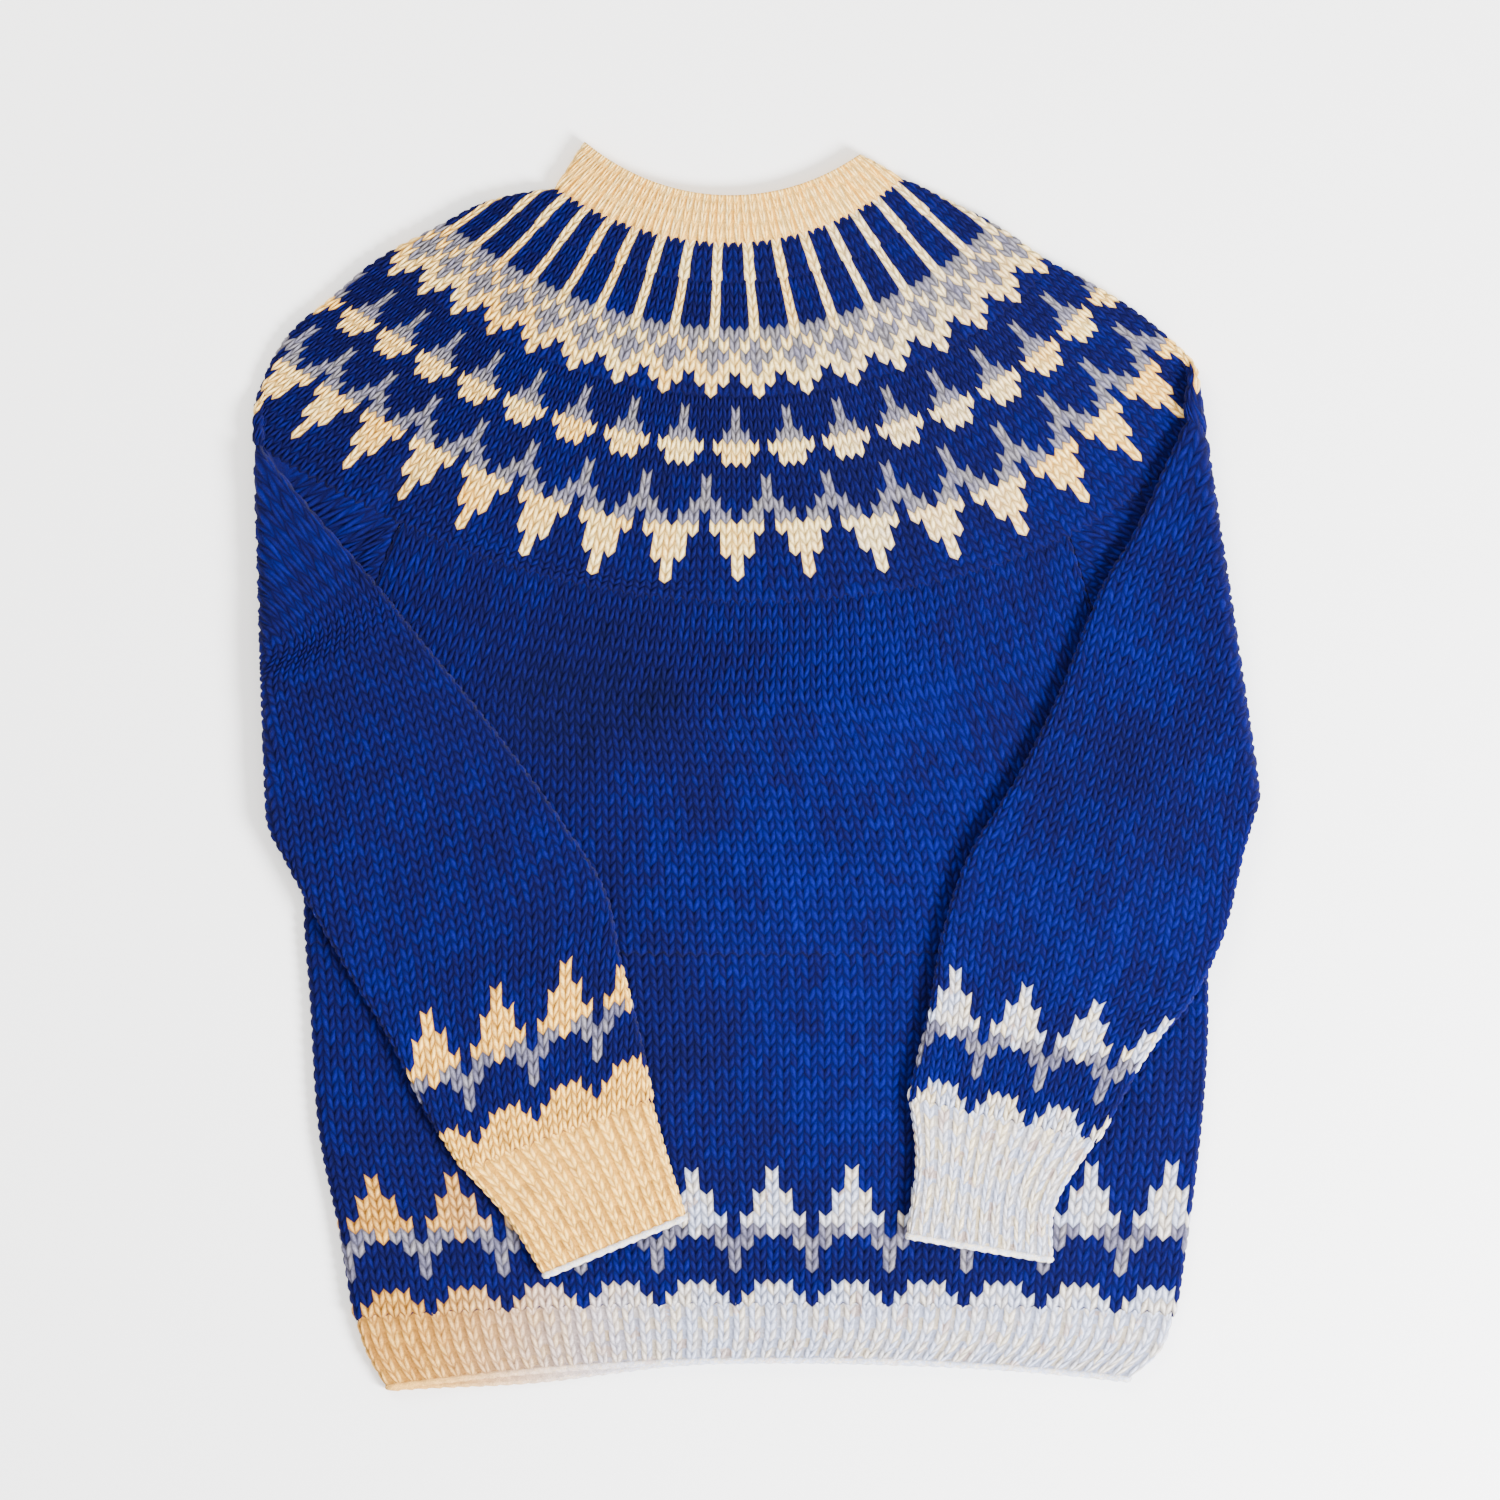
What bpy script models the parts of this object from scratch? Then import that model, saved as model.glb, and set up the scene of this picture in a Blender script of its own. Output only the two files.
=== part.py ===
"""A hand-knitted pullover with a round yoke, laid on its back with both sleeves folded over the front.

Every piece is a flattened knitted tube: two layers of cloth joined by a tight bend at each side. A tube
is drawn as rings, one for each section in its table. Rings are drawn as if the sleeves were stretched
straight out, and fold_over() then lays whatever reaches past a fold line back over the front.

Sizes are millimetres, turned into metres when a mesh is made. X runs across the body, +Y towards the
neck, Z up from the surface that the pullover lies on.
"""

import math

import bmesh
import bpy
import numpy as np

MM = 0.001

# Cloth and how it lies
WALL = 3.4  # thickness of the knitted cloth
LAYER_GAP = 0.8  # air between two layers that lie on each other
SEAM_GAP = 0.3  # between two pieces where one is knitted on to the other
SHOULDER_GAP = 1.4  # the same between yoke and sleeve, where both bend over the fold
LAYER_STEP = WALL + LAYER_GAP
MID_HEIGHT = (WALL + LAYER_STEP) / 2  # half way between the back layer and the front layer
OUTER_BEND = (LAYER_STEP + WALL) / 2  # a tube's side bend, outside
INNER_BEND = (LAYER_STEP - WALL) / 2  # and inside
FOLD_AXIS = MID_HEIGHT + LAYER_STEP  # height that a sleeve turns about when it is folded over
FOLD_RADIUS = FOLD_AXIS - MID_HEIGHT
FOLD_LENGTH = math.pi * FOLD_RADIUS

# How finely the rings are cut
BEND_STEPS = 3  # round the side bend of a tube
FOLD_STEPS = 5  # round the fold of a sleeve
EDGE_STEPS = 3  # where a cloth's edge runs over a fold
LINE_STEPS = 160  # along a section line when its length is measured
LEAST_STEP = 0.004  # of a ring's front, between two of its points

# Where the rings' drawing is centred, so that the whole pullover is centred on the origin
CENTRE_X = 1.3
CENTRE_Y = 3.5

# The yoke's stitches all point at this spot above the neck
YOKE_FOCUS = (-12.9, 410.0)
NECK_RADIUS = 117.7
NECK_WIDENS_LEFT = 0.113  # growth of the neck radius at WIDEN_ANGLE on the left side
NECK_WIDENS_RIGHT = 0.064
WIDEN_ANGLE = 50.0
EDGE_DEGREE = 6  # of the smooth curve through YOKE_EDGE

# Lower edge of the yoke: angle from straight down, positive to the left, and distance from the focus
YOKE_EDGE = (
    # angle, radius
    (54.0, 362.0),
    (48.0, 351.0),
    (42.0, 339.0),
    (36.0, 329.0),
    (28.0, 324.0),
    (20.0, 322.5),
    (10.0, 320.0),
    (0.0, 317.5),
    (-10.0, 319.0),
    (-20.0, 327.0),
    (-30.0, 337.0),
    (-38.0, 341.5),
    (-46.0, 343.5),
    (-54.0, 346.0),
)

# Yoke sections from the neckband down: share of the way to the lower edge, and the two shoulder angles
YOKE = (
    # share, left, right
    (0.00, 47.7, 49.1),
    (0.13, 54.6, 52.0),
    (0.27, 56.2, 53.7),
    (0.41, 57.0, 53.9),
    (0.55, 56.2, 54.9),
    (0.70, 55.4, 55.1),
    (0.87, 52.4, 54.2),
    (0.95, 50.6, 53.2),
    (1.00, 49.3, 52.0),
)

# Neckband sections from the yoke up: radius at the middle, growth at each side, shoulder angles
NECKBAND = (
    # radius, grows_left, grows_right, left, right
    (117.7, 0.113, 0.064, 47.7, 49.1),
    (109.0, 0.106, 0.070, 49.2, 48.2),
    (100.5, 0.098, 0.080, 50.8, 47.2),
    (93.0, 0.092, 0.095, 52.2, 46.1),
)

# Where body, sleeve and yoke meet, as angles on the yoke's lower edge
UNDERARM_LEFT = 34.0
UNDERARM_RIGHT = -34.1
ARMPIT_LEFT = (-224.7, 64.1)
ARMPIT_RIGHT = (193.3, 72.3)

# Body sections from the hem up: round of knitting, the two sides, and how far the middle hangs lower
BODY = (
    # round, left_x, left_y, right_x, right_y, hang
    (0.0, -220.8, -302.8, 233.5, -300.6, -7.0),
    (7.7, -229.6, -250.5, 241.2, -247.2, -2.0),
    (15.7, -239.5, -202.7, 247.8, -191.7, 0.0),
    (26.6, -245.0, -125.7, 251.1, -125.7, 4.0),
    (34.4, -248.3, -73.4, 248.9, -73.4, 8.0),
    (42.6, -242.8, -15.7, 234.6, -15.7, 15.0),
    (48.7, -232.9, 31.1, 213.7, 31.1, 24.0),
    (53.0, -224.7, 64.1, 193.3, 72.3, 34.0),
)
BODY_ROUNDS = 62.0

HEM_RIB = (
    # round, left_x, left_y, right_x, right_y, hang
    (0.0, -202.7, -339.1, 208.2, -334.7, -13.0),
    (2.5, -213.1, -321.5, 225.2, -319.3, -10.0),
    (5.5, -220.8, -302.8, 233.5, -300.6, -7.0),
)
HEM_DROP = 5.5  # how far the back's edge peeps out below the front's, towards the left
HEM_DROP_AT = 0.2  # share of the width where it peeps out most
HEM_DROP_SPREAD = 0.16

# Fold lines of the sleeves: two points where the outermost edge of the fold lies
FOLD_LEFT = ((-276.4, 190.0), (-268.7, -36.6))
FOLD_RIGHT = ((250.5, 184.0), (276.9, 6.3))

# Sleeve sections from the yoke down, as the sleeve lies: round of knitting, over-arm and under-arm edge.
# turned says whether the under-arm end is already past the fold; the over-arm end always is.
SLEEVE_LEFT = (
    # round, over_x, over_y, under_x, under_y, turned
    (6.2, -221.4, 120.7, -228.4, 57.0, False),
    (15.2, -185.1, 76.7, -238.4, 32.2, False),
    (25.4, -144.4, 26.7, -263.7, -22.3, False),
    (35.6, -105.9, -25.0, -243.9, -75.1, True),
    (43.9, -78.9, -69.6, -217.0, -120.2, True),
    (48.6, -72.9, -98.7, -201.6, -145.5, True),
    (55.3, -62.4, -139.4, -181.2, -186.2, True),
    (62.0, -53.6, -180.7, -159.8, -220.3, True),
)
CUFF_LEFT = (
    # round, over_x, over_y, under_x, under_y, turned
    (0.0, -53.6, -180.7, -159.8, -220.3, True),
    (5.5, -46.5, -211.0, -135.5, -246.0, True),
    (11.0, -36.0, -243.9, -115.8, -276.9, True),
)
SLEEVE_RIGHT = (
    # round, over_x, over_y, under_x, under_y, turned
    (8.4, 207.6, 130.1, 197.5, 67.5, False),
    (13.1, 192.2, 104.8, 214.2, 52.5, False),
    (16.8, 182.9, 83.3, 234.6, 32.7, False),
    (23.5, 167.5, 44.3, 264.8, 3.6, False),
    (31.7, 144.4, -1.9, 270.9, -41.0, True),
    (40.6, 115.2, -50.3, 257.7, -92.7, True),
    (47.2, 102.6, -89.9, 241.2, -125.7, True),
    (53.3, 96.0, -127.3, 219.2, -152.1, True),
    (62.0, 83.3, -180.7, 189.5, -204.3, True),
)
CUFF_RIGHT = (
    # round, over_x, over_y, under_x, under_y, turned
    (0.0, 83.3, -180.7, 189.5, -204.3, True),
    (6.0, 88.3, -216.0, 166.5, -238.4, True),
    (11.0, 83.3, -254.4, 164.7, -268.1, True),
)

BLUE = (0.016, 0.065, 0.36, 1.0)
CREAM = (0.78, 0.66, 0.50, 1.0)


def unit(vector):
    return np.asarray(vector) / np.linalg.norm(vector)


class Fold:
    """A line that a sleeve is folded about: start is where the bend begins, out points away from the body."""

    def __init__(self, edge_points, side):
        first, second = np.array(edge_points)
        along = unit(second - first)
        self.out = np.array([along[1], -along[0]])
        if self.out[0] * side < 0:
            self.out = -self.out
        self.start = first - self.out * FOLD_AXIS

    def reach(self, points):
        """How far each point of the straight sleeve lies past the start of the bend."""
        return (points[..., :2] - self.start) @ self.out

    def unfold(self, point):
        """Where a point that lies on the folded-over part was before it was folded."""
        inward = (self.start - np.asarray(point)) @ self.out
        return np.asarray(point) + self.out * (2 * inward + FOLD_LENGTH)

    def fold_over(self, points):
        reach = self.reach(points)
        angle = np.clip(reach / FOLD_RADIUS, 0.0, math.pi)
        radius = FOLD_AXIS - points[..., 2]
        lies_at = np.where(reach > FOLD_LENGTH, FOLD_LENGTH - reach, radius * np.sin(angle))
        lies_at = np.where(reach < 0, reach, lies_at)
        folded = points.copy()
        folded[..., :2] += (lies_at - reach)[..., None] * self.out
        folded[..., 2] = FOLD_AXIS - radius * np.cos(angle)
        return folded


LEFT_FOLD = Fold(FOLD_LEFT, -1)
RIGHT_FOLD = Fold(FOLD_RIGHT, 1)

EDGE_CURVE = np.polyfit([row[0] for row in YOKE_EDGE], [row[1] for row in YOKE_EDGE], EDGE_DEGREE)


def polar(angle, radius):
    """Point at an angle from straight down, positive to the left, round the yoke's focus."""
    turn = np.radians(angle)
    return np.stack([YOKE_FOCUS[0] - radius * np.sin(turn), YOKE_FOCUS[1] - radius * np.cos(turn)], axis=-1)


def widened(radius, angle, grows_left, grows_right):
    grows = np.where(angle > 0, grows_left, grows_right)
    return radius * (1 + grows * (angle / WIDEN_ANGLE) ** 2)


def yoke_radius(angle, share):
    neck = widened(NECK_RADIUS, angle, NECK_WIDENS_LEFT, NECK_WIDENS_RIGHT)
    return neck + share * (np.polyval(EDGE_CURVE, angle) - neck)


def yoke_edge(angle, gap=0.0):
    return polar(angle, np.polyval(EDGE_CURVE, angle) + gap)


def lerp(a, b, share):
    return a + (b - a) * share


# Section lines: arrays of points from one side of the flattened tube to the other


def yoke_line(share, left, right, gap):
    angle = np.linspace(left, -right, LINE_STEPS + 1)
    return polar(angle, yoke_radius(angle, share) + gap)


def neckband_line(radius, grows_left, grows_right, left, right, gap):
    angle = np.linspace(left, -right, LINE_STEPS + 1)
    return polar(angle, widened(radius, angle, grows_left, grows_right) + gap)


def body_line(left_x, left_y, right_x, right_y, hang):
    across = np.linspace(0.0, 1.0, LINE_STEPS + 1)
    x = lerp(left_x, right_x, across)
    y = lerp(left_y, right_y, across) - 4 * hang * across * (1 - across)
    return np.stack([x, y], axis=-1)


def body_top_line():
    """The body's last section follows the yoke's edge from one underarm corner to the other."""
    return yoke_edge(np.linspace(UNDERARM_LEFT, UNDERARM_RIGHT, LINE_STEPS + 1), SEAM_GAP)


def sleeve_top_line(fold_angle, corner_angle, armpit, outward):
    """From the shoulder along the yoke's edge to the underarm corner, then down the crease to the armpit."""
    half = LINE_STEPS // 2
    angle = np.linspace(fold_angle, corner_angle, half + 1)
    arc = yoke_edge(angle, np.linspace(SHOULDER_GAP, SEAM_GAP, half + 1))
    shift = np.array([SEAM_GAP * outward, 0.0])
    crease = lerp(arc[-1], np.asarray(armpit), np.linspace(0.0, 1.0, half + 1)[1:, None])
    return np.concatenate([arc + shift, crease + shift])


def sleeve_line(fold, over, under, turned):
    over = fold.unfold(over)
    under = fold.unfold(under) if turned else np.asarray(under)
    return lerp(over, under, np.linspace(0.0, 1.0, LINE_STEPS + 1)[:, None])


# Rings


def shares_along(line):
    """How far along the line each of its points is, from 0 to 1, and the line's length."""
    distance = np.concatenate([[0.0], np.cumsum(np.linalg.norm(np.diff(line, axis=0), axis=1))])
    return distance / distance[-1], distance[-1]


def spread(knots, counts):
    """Evenly divides each stretch between two knots, once no stretch is shorter than its steps need."""
    knots = np.array(knots)
    needed = np.array(counts) * LEAST_STEP
    for i, need in enumerate(needed):
        knots[i + 1] = max(knots[i + 1], knots[i] + need)
    knots[-1] = 1.0
    for i in reversed(range(len(needed))):
        knots[i] = min(knots[i], knots[i + 1] - needed[i])
    knots[0] = 0.0
    pieces = [np.linspace(a, b, n, endpoint=False) for a, b, n in zip(knots, knots[1:], counts)]
    return np.concatenate(pieces + [[1.0]])


def stations(line, folds, steps, side_steps, corner):
    """Shares of the line's length where a ring has its points, with extra ones round each fold."""
    share = shares_along(line)[0]
    knots = [0.0]
    counts = []
    for fold in folds:
        reach = fold.reach(line)
        if reach[0] > reach[-1]:
            knots += list(np.interp((-FOLD_LENGTH, 0.0), -reach, share))
            counts += [side_steps, FOLD_STEPS]
    if corner is None:
        counts.append(steps)
    else:
        knots.append(corner)
        counts += [steps // 2, steps - steps // 2]
    for fold in folds:
        reach = fold.reach(line)
        if reach[0] < reach[-1]:
            knots += list(np.interp((0.0, FOLD_LENGTH), reach, share))
            counts += [FOLD_STEPS, side_steps]
    return spread(knots + [1.0], counts)


def ring(line, folds, bend, steps, side_steps, corner, trim, drop):
    """Points round a flattened tube at one section: along the front, round a side, along the back, round."""
    share, length = shares_along(line)
    at = stations(line, folds, steps, side_steps, corner)
    margin = trim / length
    at = margin + at * (1 - 2 * margin)
    flat = np.stack([np.interp(at, share, line[:, axis]) for axis in (0, 1)], axis=-1)
    back = flat - np.stack([np.zeros(len(at)), drop(at)], axis=-1)
    layer = np.ones((len(flat), 1))
    front_points = np.concatenate([flat, layer * (MID_HEIGHT + bend)], axis=1)
    back_points = np.concatenate([back, layer * (MID_HEIGHT - bend)], axis=1)[::-1]
    turn = np.linspace(0.0, math.pi, BEND_STEPS + 1)[1:-1]
    sides = []
    for centre, inner in ((flat[-1], flat[-2]), (flat[0], flat[1])):
        offset = unit(centre - inner) * (bend * np.sin(turn))[:, None]
        sides.append(np.concatenate([centre + offset, (MID_HEIGHT + bend * np.cos(turn))[:, None]], axis=1))
    points = np.concatenate([front_points, sides[0], back_points, sides[1][::-1]])
    for fold in folds:
        points = fold.fold_over(points)
    return points


def no_drop(at):
    return np.zeros(len(at))


def over_fold(lines, fold, end):
    """Adds sections where the cloth's edge passes over a fold, so that the edge is bent there too."""
    result = [lines[0]]
    for before, after in zip(lines, lines[1:]):
        reach = fold.reach(before[end])
        marks = np.linspace(0.0, FOLD_LENGTH, EDGE_STEPS + 1)
        shares = (marks - reach) / (fold.reach(after[end]) - reach)
        result += [lerp(before, after, share) for share in sorted(shares) if 0.1 < share < 0.9]
        result.append(after)
    return result


def rings(lines, folds, steps, side_steps=0, corners=None, trims=None, drops=None):
    corners = corners or [None] * len(lines)
    trims = trims or [OUTER_BEND] * len(lines)
    drops = drops or [no_drop] * len(lines)
    settings = list(zip(lines, corners, trims, drops))
    return [
        np.array([ring(line, folds, bend, steps, side_steps, *rest) for line, *rest in settings])
        for bend in (OUTER_BEND, INNER_BEND)
    ]


def cloth(name, outer, inner, colour, kept=None):
    """A closed wall between two sets of rings. kept(section, place) leaves parts of it out, as at armholes."""
    sections, places = outer.shape[:2]
    present = np.ones((sections - 1, places), bool)
    if kept is not None:
        present = np.array([[kept(s, p) for p in range(places)] for s in range(sections - 1)])
    mesh = bmesh.new()
    made = {}

    def corner(source, section, place):
        key = (source is outer, section, place % places)
        if key not in made:
            point = (source[section, place % places] - (CENTRE_X, CENTRE_Y, 0.0)) * MM
            made[key] = mesh.verts.new(point)
        return made[key]

    def face(*corners):
        mesh.faces.new([corner(*one) for one in corners])

    def is_cell(section, place):
        return 0 <= section < sections - 1 and present[section, place % places]

    for a, p in np.argwhere(present):
        b, q = a + 1, p + 1
        face((outer, a, p), (outer, a, q), (outer, b, q), (outer, b, p))
        face((inner, a, p), (inner, b, p), (inner, b, q), (inner, a, q))
        if not is_cell(a - 1, p):
            face((outer, a, p), (inner, a, p), (inner, a, q), (outer, a, q))
        if not is_cell(b, p):
            face((outer, b, p), (outer, b, q), (inner, b, q), (inner, b, p))
        if not is_cell(a, p - 1):
            face((outer, a, p), (outer, b, p), (inner, b, p), (inner, a, p))
        if not is_cell(a, q):
            face((outer, a, q), (inner, a, q), (inner, b, q), (outer, b, q))
    if mesh.calc_volume(signed=True) < 0:
        bmesh.ops.reverse_faces(mesh, faces=mesh.faces)
    bmesh.ops.triangulate(mesh, faces=mesh.faces)
    data = bpy.data.meshes.new(name)
    mesh.to_mesh(data)
    mesh.free()
    data.shade_smooth()
    data.set_sharp_from_angle(angle=math.radians(50))
    data.materials.append(wool(name, colour))
    made_object = bpy.data.objects.new(name, data)
    bpy.context.scene.collection.objects.link(made_object)
    return made_object


def wool(name, colour):
    material = bpy.data.materials.new(name + "_wool")
    material.use_nodes = True
    shader = material.node_tree.nodes["Principled BSDF"]
    shader.inputs["Base Color"].default_value = colour
    shader.inputs["Roughness"].default_value = 0.9
    shader.inputs["Metallic"].default_value = 0.0
    return material


# Pieces

BODY_STEPS = 18
YOKE_STEPS = 20
YOKE_SIDE_STEPS = 1
NECK_STEPS = 14
SLEEVE_STEPS = 8
SLEEVE_SIDE_STEPS = 3
CUFF_STEPS = 8


def make_body():
    lines = [body_line(*row[1:]) for row in BODY]
    armpit_section = len(lines) - 1
    top = body_top_line()
    lines += [lerp(lines[-1], top, 0.5), top]
    trims = [OUTER_BEND] * len(BODY) + [0.0, 0.0]
    outer, inner = rings(lines, (), BODY_STEPS, trims=trims)
    back_first = BODY_STEPS + BEND_STEPS

    def kept(section, place):
        """Above the armpits the front and the back go on without the sides, which leaves the armholes."""
        on_panel = place < BODY_STEPS or back_first <= place < back_first + BODY_STEPS
        return section < armpit_section or on_panel

    return cloth("body", outer, inner, BLUE, kept)


def make_hem_rib():
    def drop(strength):
        def amount(at):
            return HEM_DROP * strength * np.exp(-(((at - HEM_DROP_AT) / HEM_DROP_SPREAD) ** 2))

        return amount

    lines = [body_line(*row[1:]) for row in HEM_RIB]
    lines[-1] = lines[-1] - (0.0, SEAM_GAP)
    outer, inner = rings(lines, (), BODY_STEPS, drops=[drop(1.0), drop(0.4), drop(0.0)])
    return cloth("hem_rib", outer, inner, CREAM)


def make_yoke():
    lines = [yoke_line(*row, 0.0) for row in YOKE]
    lines = over_fold(over_fold(lines, LEFT_FOLD, 0), RIGHT_FOLD, -1)
    outer, inner = rings(lines, (LEFT_FOLD, RIGHT_FOLD), YOKE_STEPS, YOKE_SIDE_STEPS)
    return cloth("yoke", outer, inner, BLUE)


def make_neckband():
    lines = [neckband_line(*row, -SEAM_GAP if i == 0 else 0.0) for i, row in enumerate(NECKBAND)]
    outer, inner = rings(lines, (), NECK_STEPS)
    return cloth("neckband", outer, inner, CREAM)


def make_sleeve(name, fold, table, top):
    lines = [sleeve_line(fold, row[1:3], row[3:5], row[5]) for row in table]
    lines = [top, lerp(top, lines[0], 0.5)] + lines
    corners = [shares_along(top)[0][LINE_STEPS // 2], 0.42]
    lines = lines[:2] + over_fold(over_fold(lines[1:], fold, 0), fold, -1)[1:]
    corners += [None] * (len(lines) - 2)
    outer, inner = rings(lines, (fold,), SLEEVE_STEPS, SLEEVE_SIDE_STEPS, corners)
    return cloth(name, outer, inner, BLUE)


def make_cuff(name, fold, table, colour):
    lines = [sleeve_line(fold, row[1:3], row[3:5], row[5]) for row in table]
    down = unit(lines[1].mean(axis=0) - lines[0].mean(axis=0))
    lines[0] = lines[0] + down * SEAM_GAP
    outer, inner = rings(lines, (), CUFF_STEPS)
    return cloth(name, fold.fold_over(outer), fold.fold_over(inner), colour)


def main():
    for thing in list(bpy.data.objects):
        bpy.data.objects.remove(thing)
    make_body()
    make_hem_rib()
    make_yoke()
    make_neckband()
    left_top = sleeve_top_line(YOKE[-1][1], UNDERARM_LEFT, ARMPIT_LEFT, -1)
    right_top = sleeve_top_line(-YOKE[-1][2], UNDERARM_RIGHT, ARMPIT_RIGHT, 1)
    make_sleeve("sleeve_left", LEFT_FOLD, SLEEVE_LEFT, left_top)
    make_sleeve("sleeve_right", RIGHT_FOLD, SLEEVE_RIGHT, right_top)
    make_cuff("cuff_left", LEFT_FOLD, CUFF_LEFT, CREAM)
    make_cuff("cuff_right", RIGHT_FOLD, CUFF_RIGHT, CREAM)


main()
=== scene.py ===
"""Looks for a hand-knitted pullover with a round yoke, laid on its back with the sleeves folded over.

Each piece is knitted here stitch by stitch: a grid of plump V-shaped legs wrapped round the same flattened
tubes as the solid part, charted from short motifs, and closed with a smooth inside. Sizes are millimetres,
turned into metres when a mesh is made. X runs across the body, +Y towards the neck, Z up from the floor.
"""

import math

import bpy
import numpy as np
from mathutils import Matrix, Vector


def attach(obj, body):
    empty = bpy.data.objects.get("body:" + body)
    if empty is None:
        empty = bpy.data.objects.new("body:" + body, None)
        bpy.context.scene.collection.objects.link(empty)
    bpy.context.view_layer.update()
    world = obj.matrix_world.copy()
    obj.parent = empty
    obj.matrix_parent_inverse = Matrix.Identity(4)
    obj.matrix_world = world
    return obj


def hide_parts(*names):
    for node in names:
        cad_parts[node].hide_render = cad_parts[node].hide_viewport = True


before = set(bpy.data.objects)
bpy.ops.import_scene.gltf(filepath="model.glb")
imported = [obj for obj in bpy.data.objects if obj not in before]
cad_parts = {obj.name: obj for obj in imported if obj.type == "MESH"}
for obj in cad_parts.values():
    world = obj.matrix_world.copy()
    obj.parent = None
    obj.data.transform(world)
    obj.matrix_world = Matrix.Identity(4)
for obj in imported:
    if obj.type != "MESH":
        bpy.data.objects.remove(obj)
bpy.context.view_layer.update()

MM = 0.001

# ---------------------------------------------------------------- how the cloth lies, as in the solid part

WALL = 3.4
LAYER_GAP = 0.8
LAYER_STEP = WALL + LAYER_GAP
MID_HEIGHT = (WALL + LAYER_STEP) / 2
OUTER_BEND = (LAYER_STEP + WALL) / 2
INNER_BEND = (LAYER_STEP - WALL) / 2
FOLD_AXIS = MID_HEIGHT + LAYER_STEP
FOLD_RADIUS = FOLD_AXIS - MID_HEIGHT
FOLD_LENGTH = math.pi * FOLD_RADIUS
SEAM_GAP = -4.6  # one piece runs on a little under the end of the next
SHOULDER_GAP = -3.6
CREASE_GAP = -1.2
NECK_OVERLAP = 0.8  # of the gap, for the neckband over the yoke
TUCK = 0.9  # rounds over which the lower piece sinks under the one above
LINE_STEPS = 160
CENTRE_X = 1.3
CENTRE_Y = 3.5

YOKE_FOCUS = (-12.9, 410.0)
NECK_RADIUS = 117.7
NECK_WIDENS_LEFT = 0.113
NECK_WIDENS_RIGHT = 0.064
WIDEN_ANGLE = 50.0
EDGE_DEGREE = 6

# Lower edge of the yoke: angle from straight down, positive to the left, and distance from the focus
YOKE_EDGE = (
    # angle, radius
    (54.0, 362.0),
    (48.0, 351.0),
    (42.0, 339.0),
    (36.0, 329.0),
    (28.0, 324.0),
    (20.0, 322.5),
    (10.0, 320.0),
    (0.0, 317.5),
    (-10.0, 319.0),
    (-20.0, 327.0),
    (-30.0, 337.0),
    (-38.0, 341.5),
    (-46.0, 343.5),
    (-54.0, 346.0),
)

# Yoke sections from the neckband down: share of the way to the lower edge, and the two shoulder angles
YOKE = (
    # share, left, right
    (0.00, 47.7, 49.1),
    (0.13, 54.6, 52.0),
    (0.27, 56.2, 53.7),
    (0.41, 57.0, 53.9),
    (0.55, 56.2, 54.9),
    (0.70, 55.4, 55.1),
    (0.87, 52.4, 54.2),
    (0.95, 50.6, 53.2),
    (1.00, 49.3, 52.0),
)

# Neckband sections from the yoke up: radius at the middle, growth at each side, shoulder angles
NECKBAND = (
    # radius, grows_left, grows_right, left, right
    (117.7, 0.113, 0.064, 47.7, 49.1),
    (109.0, 0.106, 0.070, 49.2, 48.2),
    (100.5, 0.098, 0.080, 50.8, 47.2),
    (93.0, 0.092, 0.095, 52.2, 46.1),
)

UNDERARM_LEFT = 34.0
UNDERARM_RIGHT = -34.1
ARMPIT_LEFT = (-224.7, 64.1)
ARMPIT_RIGHT = (193.3, 72.3)

# Body sections from the hem up: round of knitting, the two sides, and how far the middle hangs lower
BODY = (
    # round, left_x, left_y, right_x, right_y, hang
    (0.0, -220.8, -302.8, 233.5, -300.6, -7.0),
    (7.7, -229.6, -250.5, 241.2, -247.2, -2.0),
    (15.7, -239.5, -202.7, 247.8, -191.7, 0.0),
    (26.6, -245.0, -125.7, 251.1, -125.7, 4.0),
    (34.4, -248.3, -73.4, 248.9, -73.4, 8.0),
    (42.6, -242.8, -15.7, 234.6, -15.7, 15.0),
    (48.7, -232.9, 31.1, 213.7, 31.1, 24.0),
    (53.0, -224.7, 64.1, 193.3, 72.3, 34.0),
)
BODY_ROUNDS = 62
BODY_SPLIT = 31  # round where the lower piece of the body gives way to the upper one
BODY_PHASE = 1.2  # stitches from the left edge to the first motif

HEM_RIB = (
    # round, left_x, left_y, right_x, right_y, hang
    (0.0, -202.7, -339.1, 208.2, -334.7, -13.0),
    (2.5, -213.1, -321.5, 225.2, -319.3, -10.0),
    (5.5, -220.8, -302.8, 233.5, -300.6, -7.0),
)
HEM_DROP = 5.5  # how far the back hangs below the front, most at HEM_DROP_AT across
HEM_DROP_FADES = (1.0, 0.4, 0.0)  # at each section of the rib
HEM_DROP_AT = 0.2
HEM_DROP_SPREAD = 0.16

FOLD_LEFT = ((-276.4, 190.0), (-268.7, -36.6))
FOLD_RIGHT = ((250.5, 184.0), (276.9, 6.3))

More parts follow.
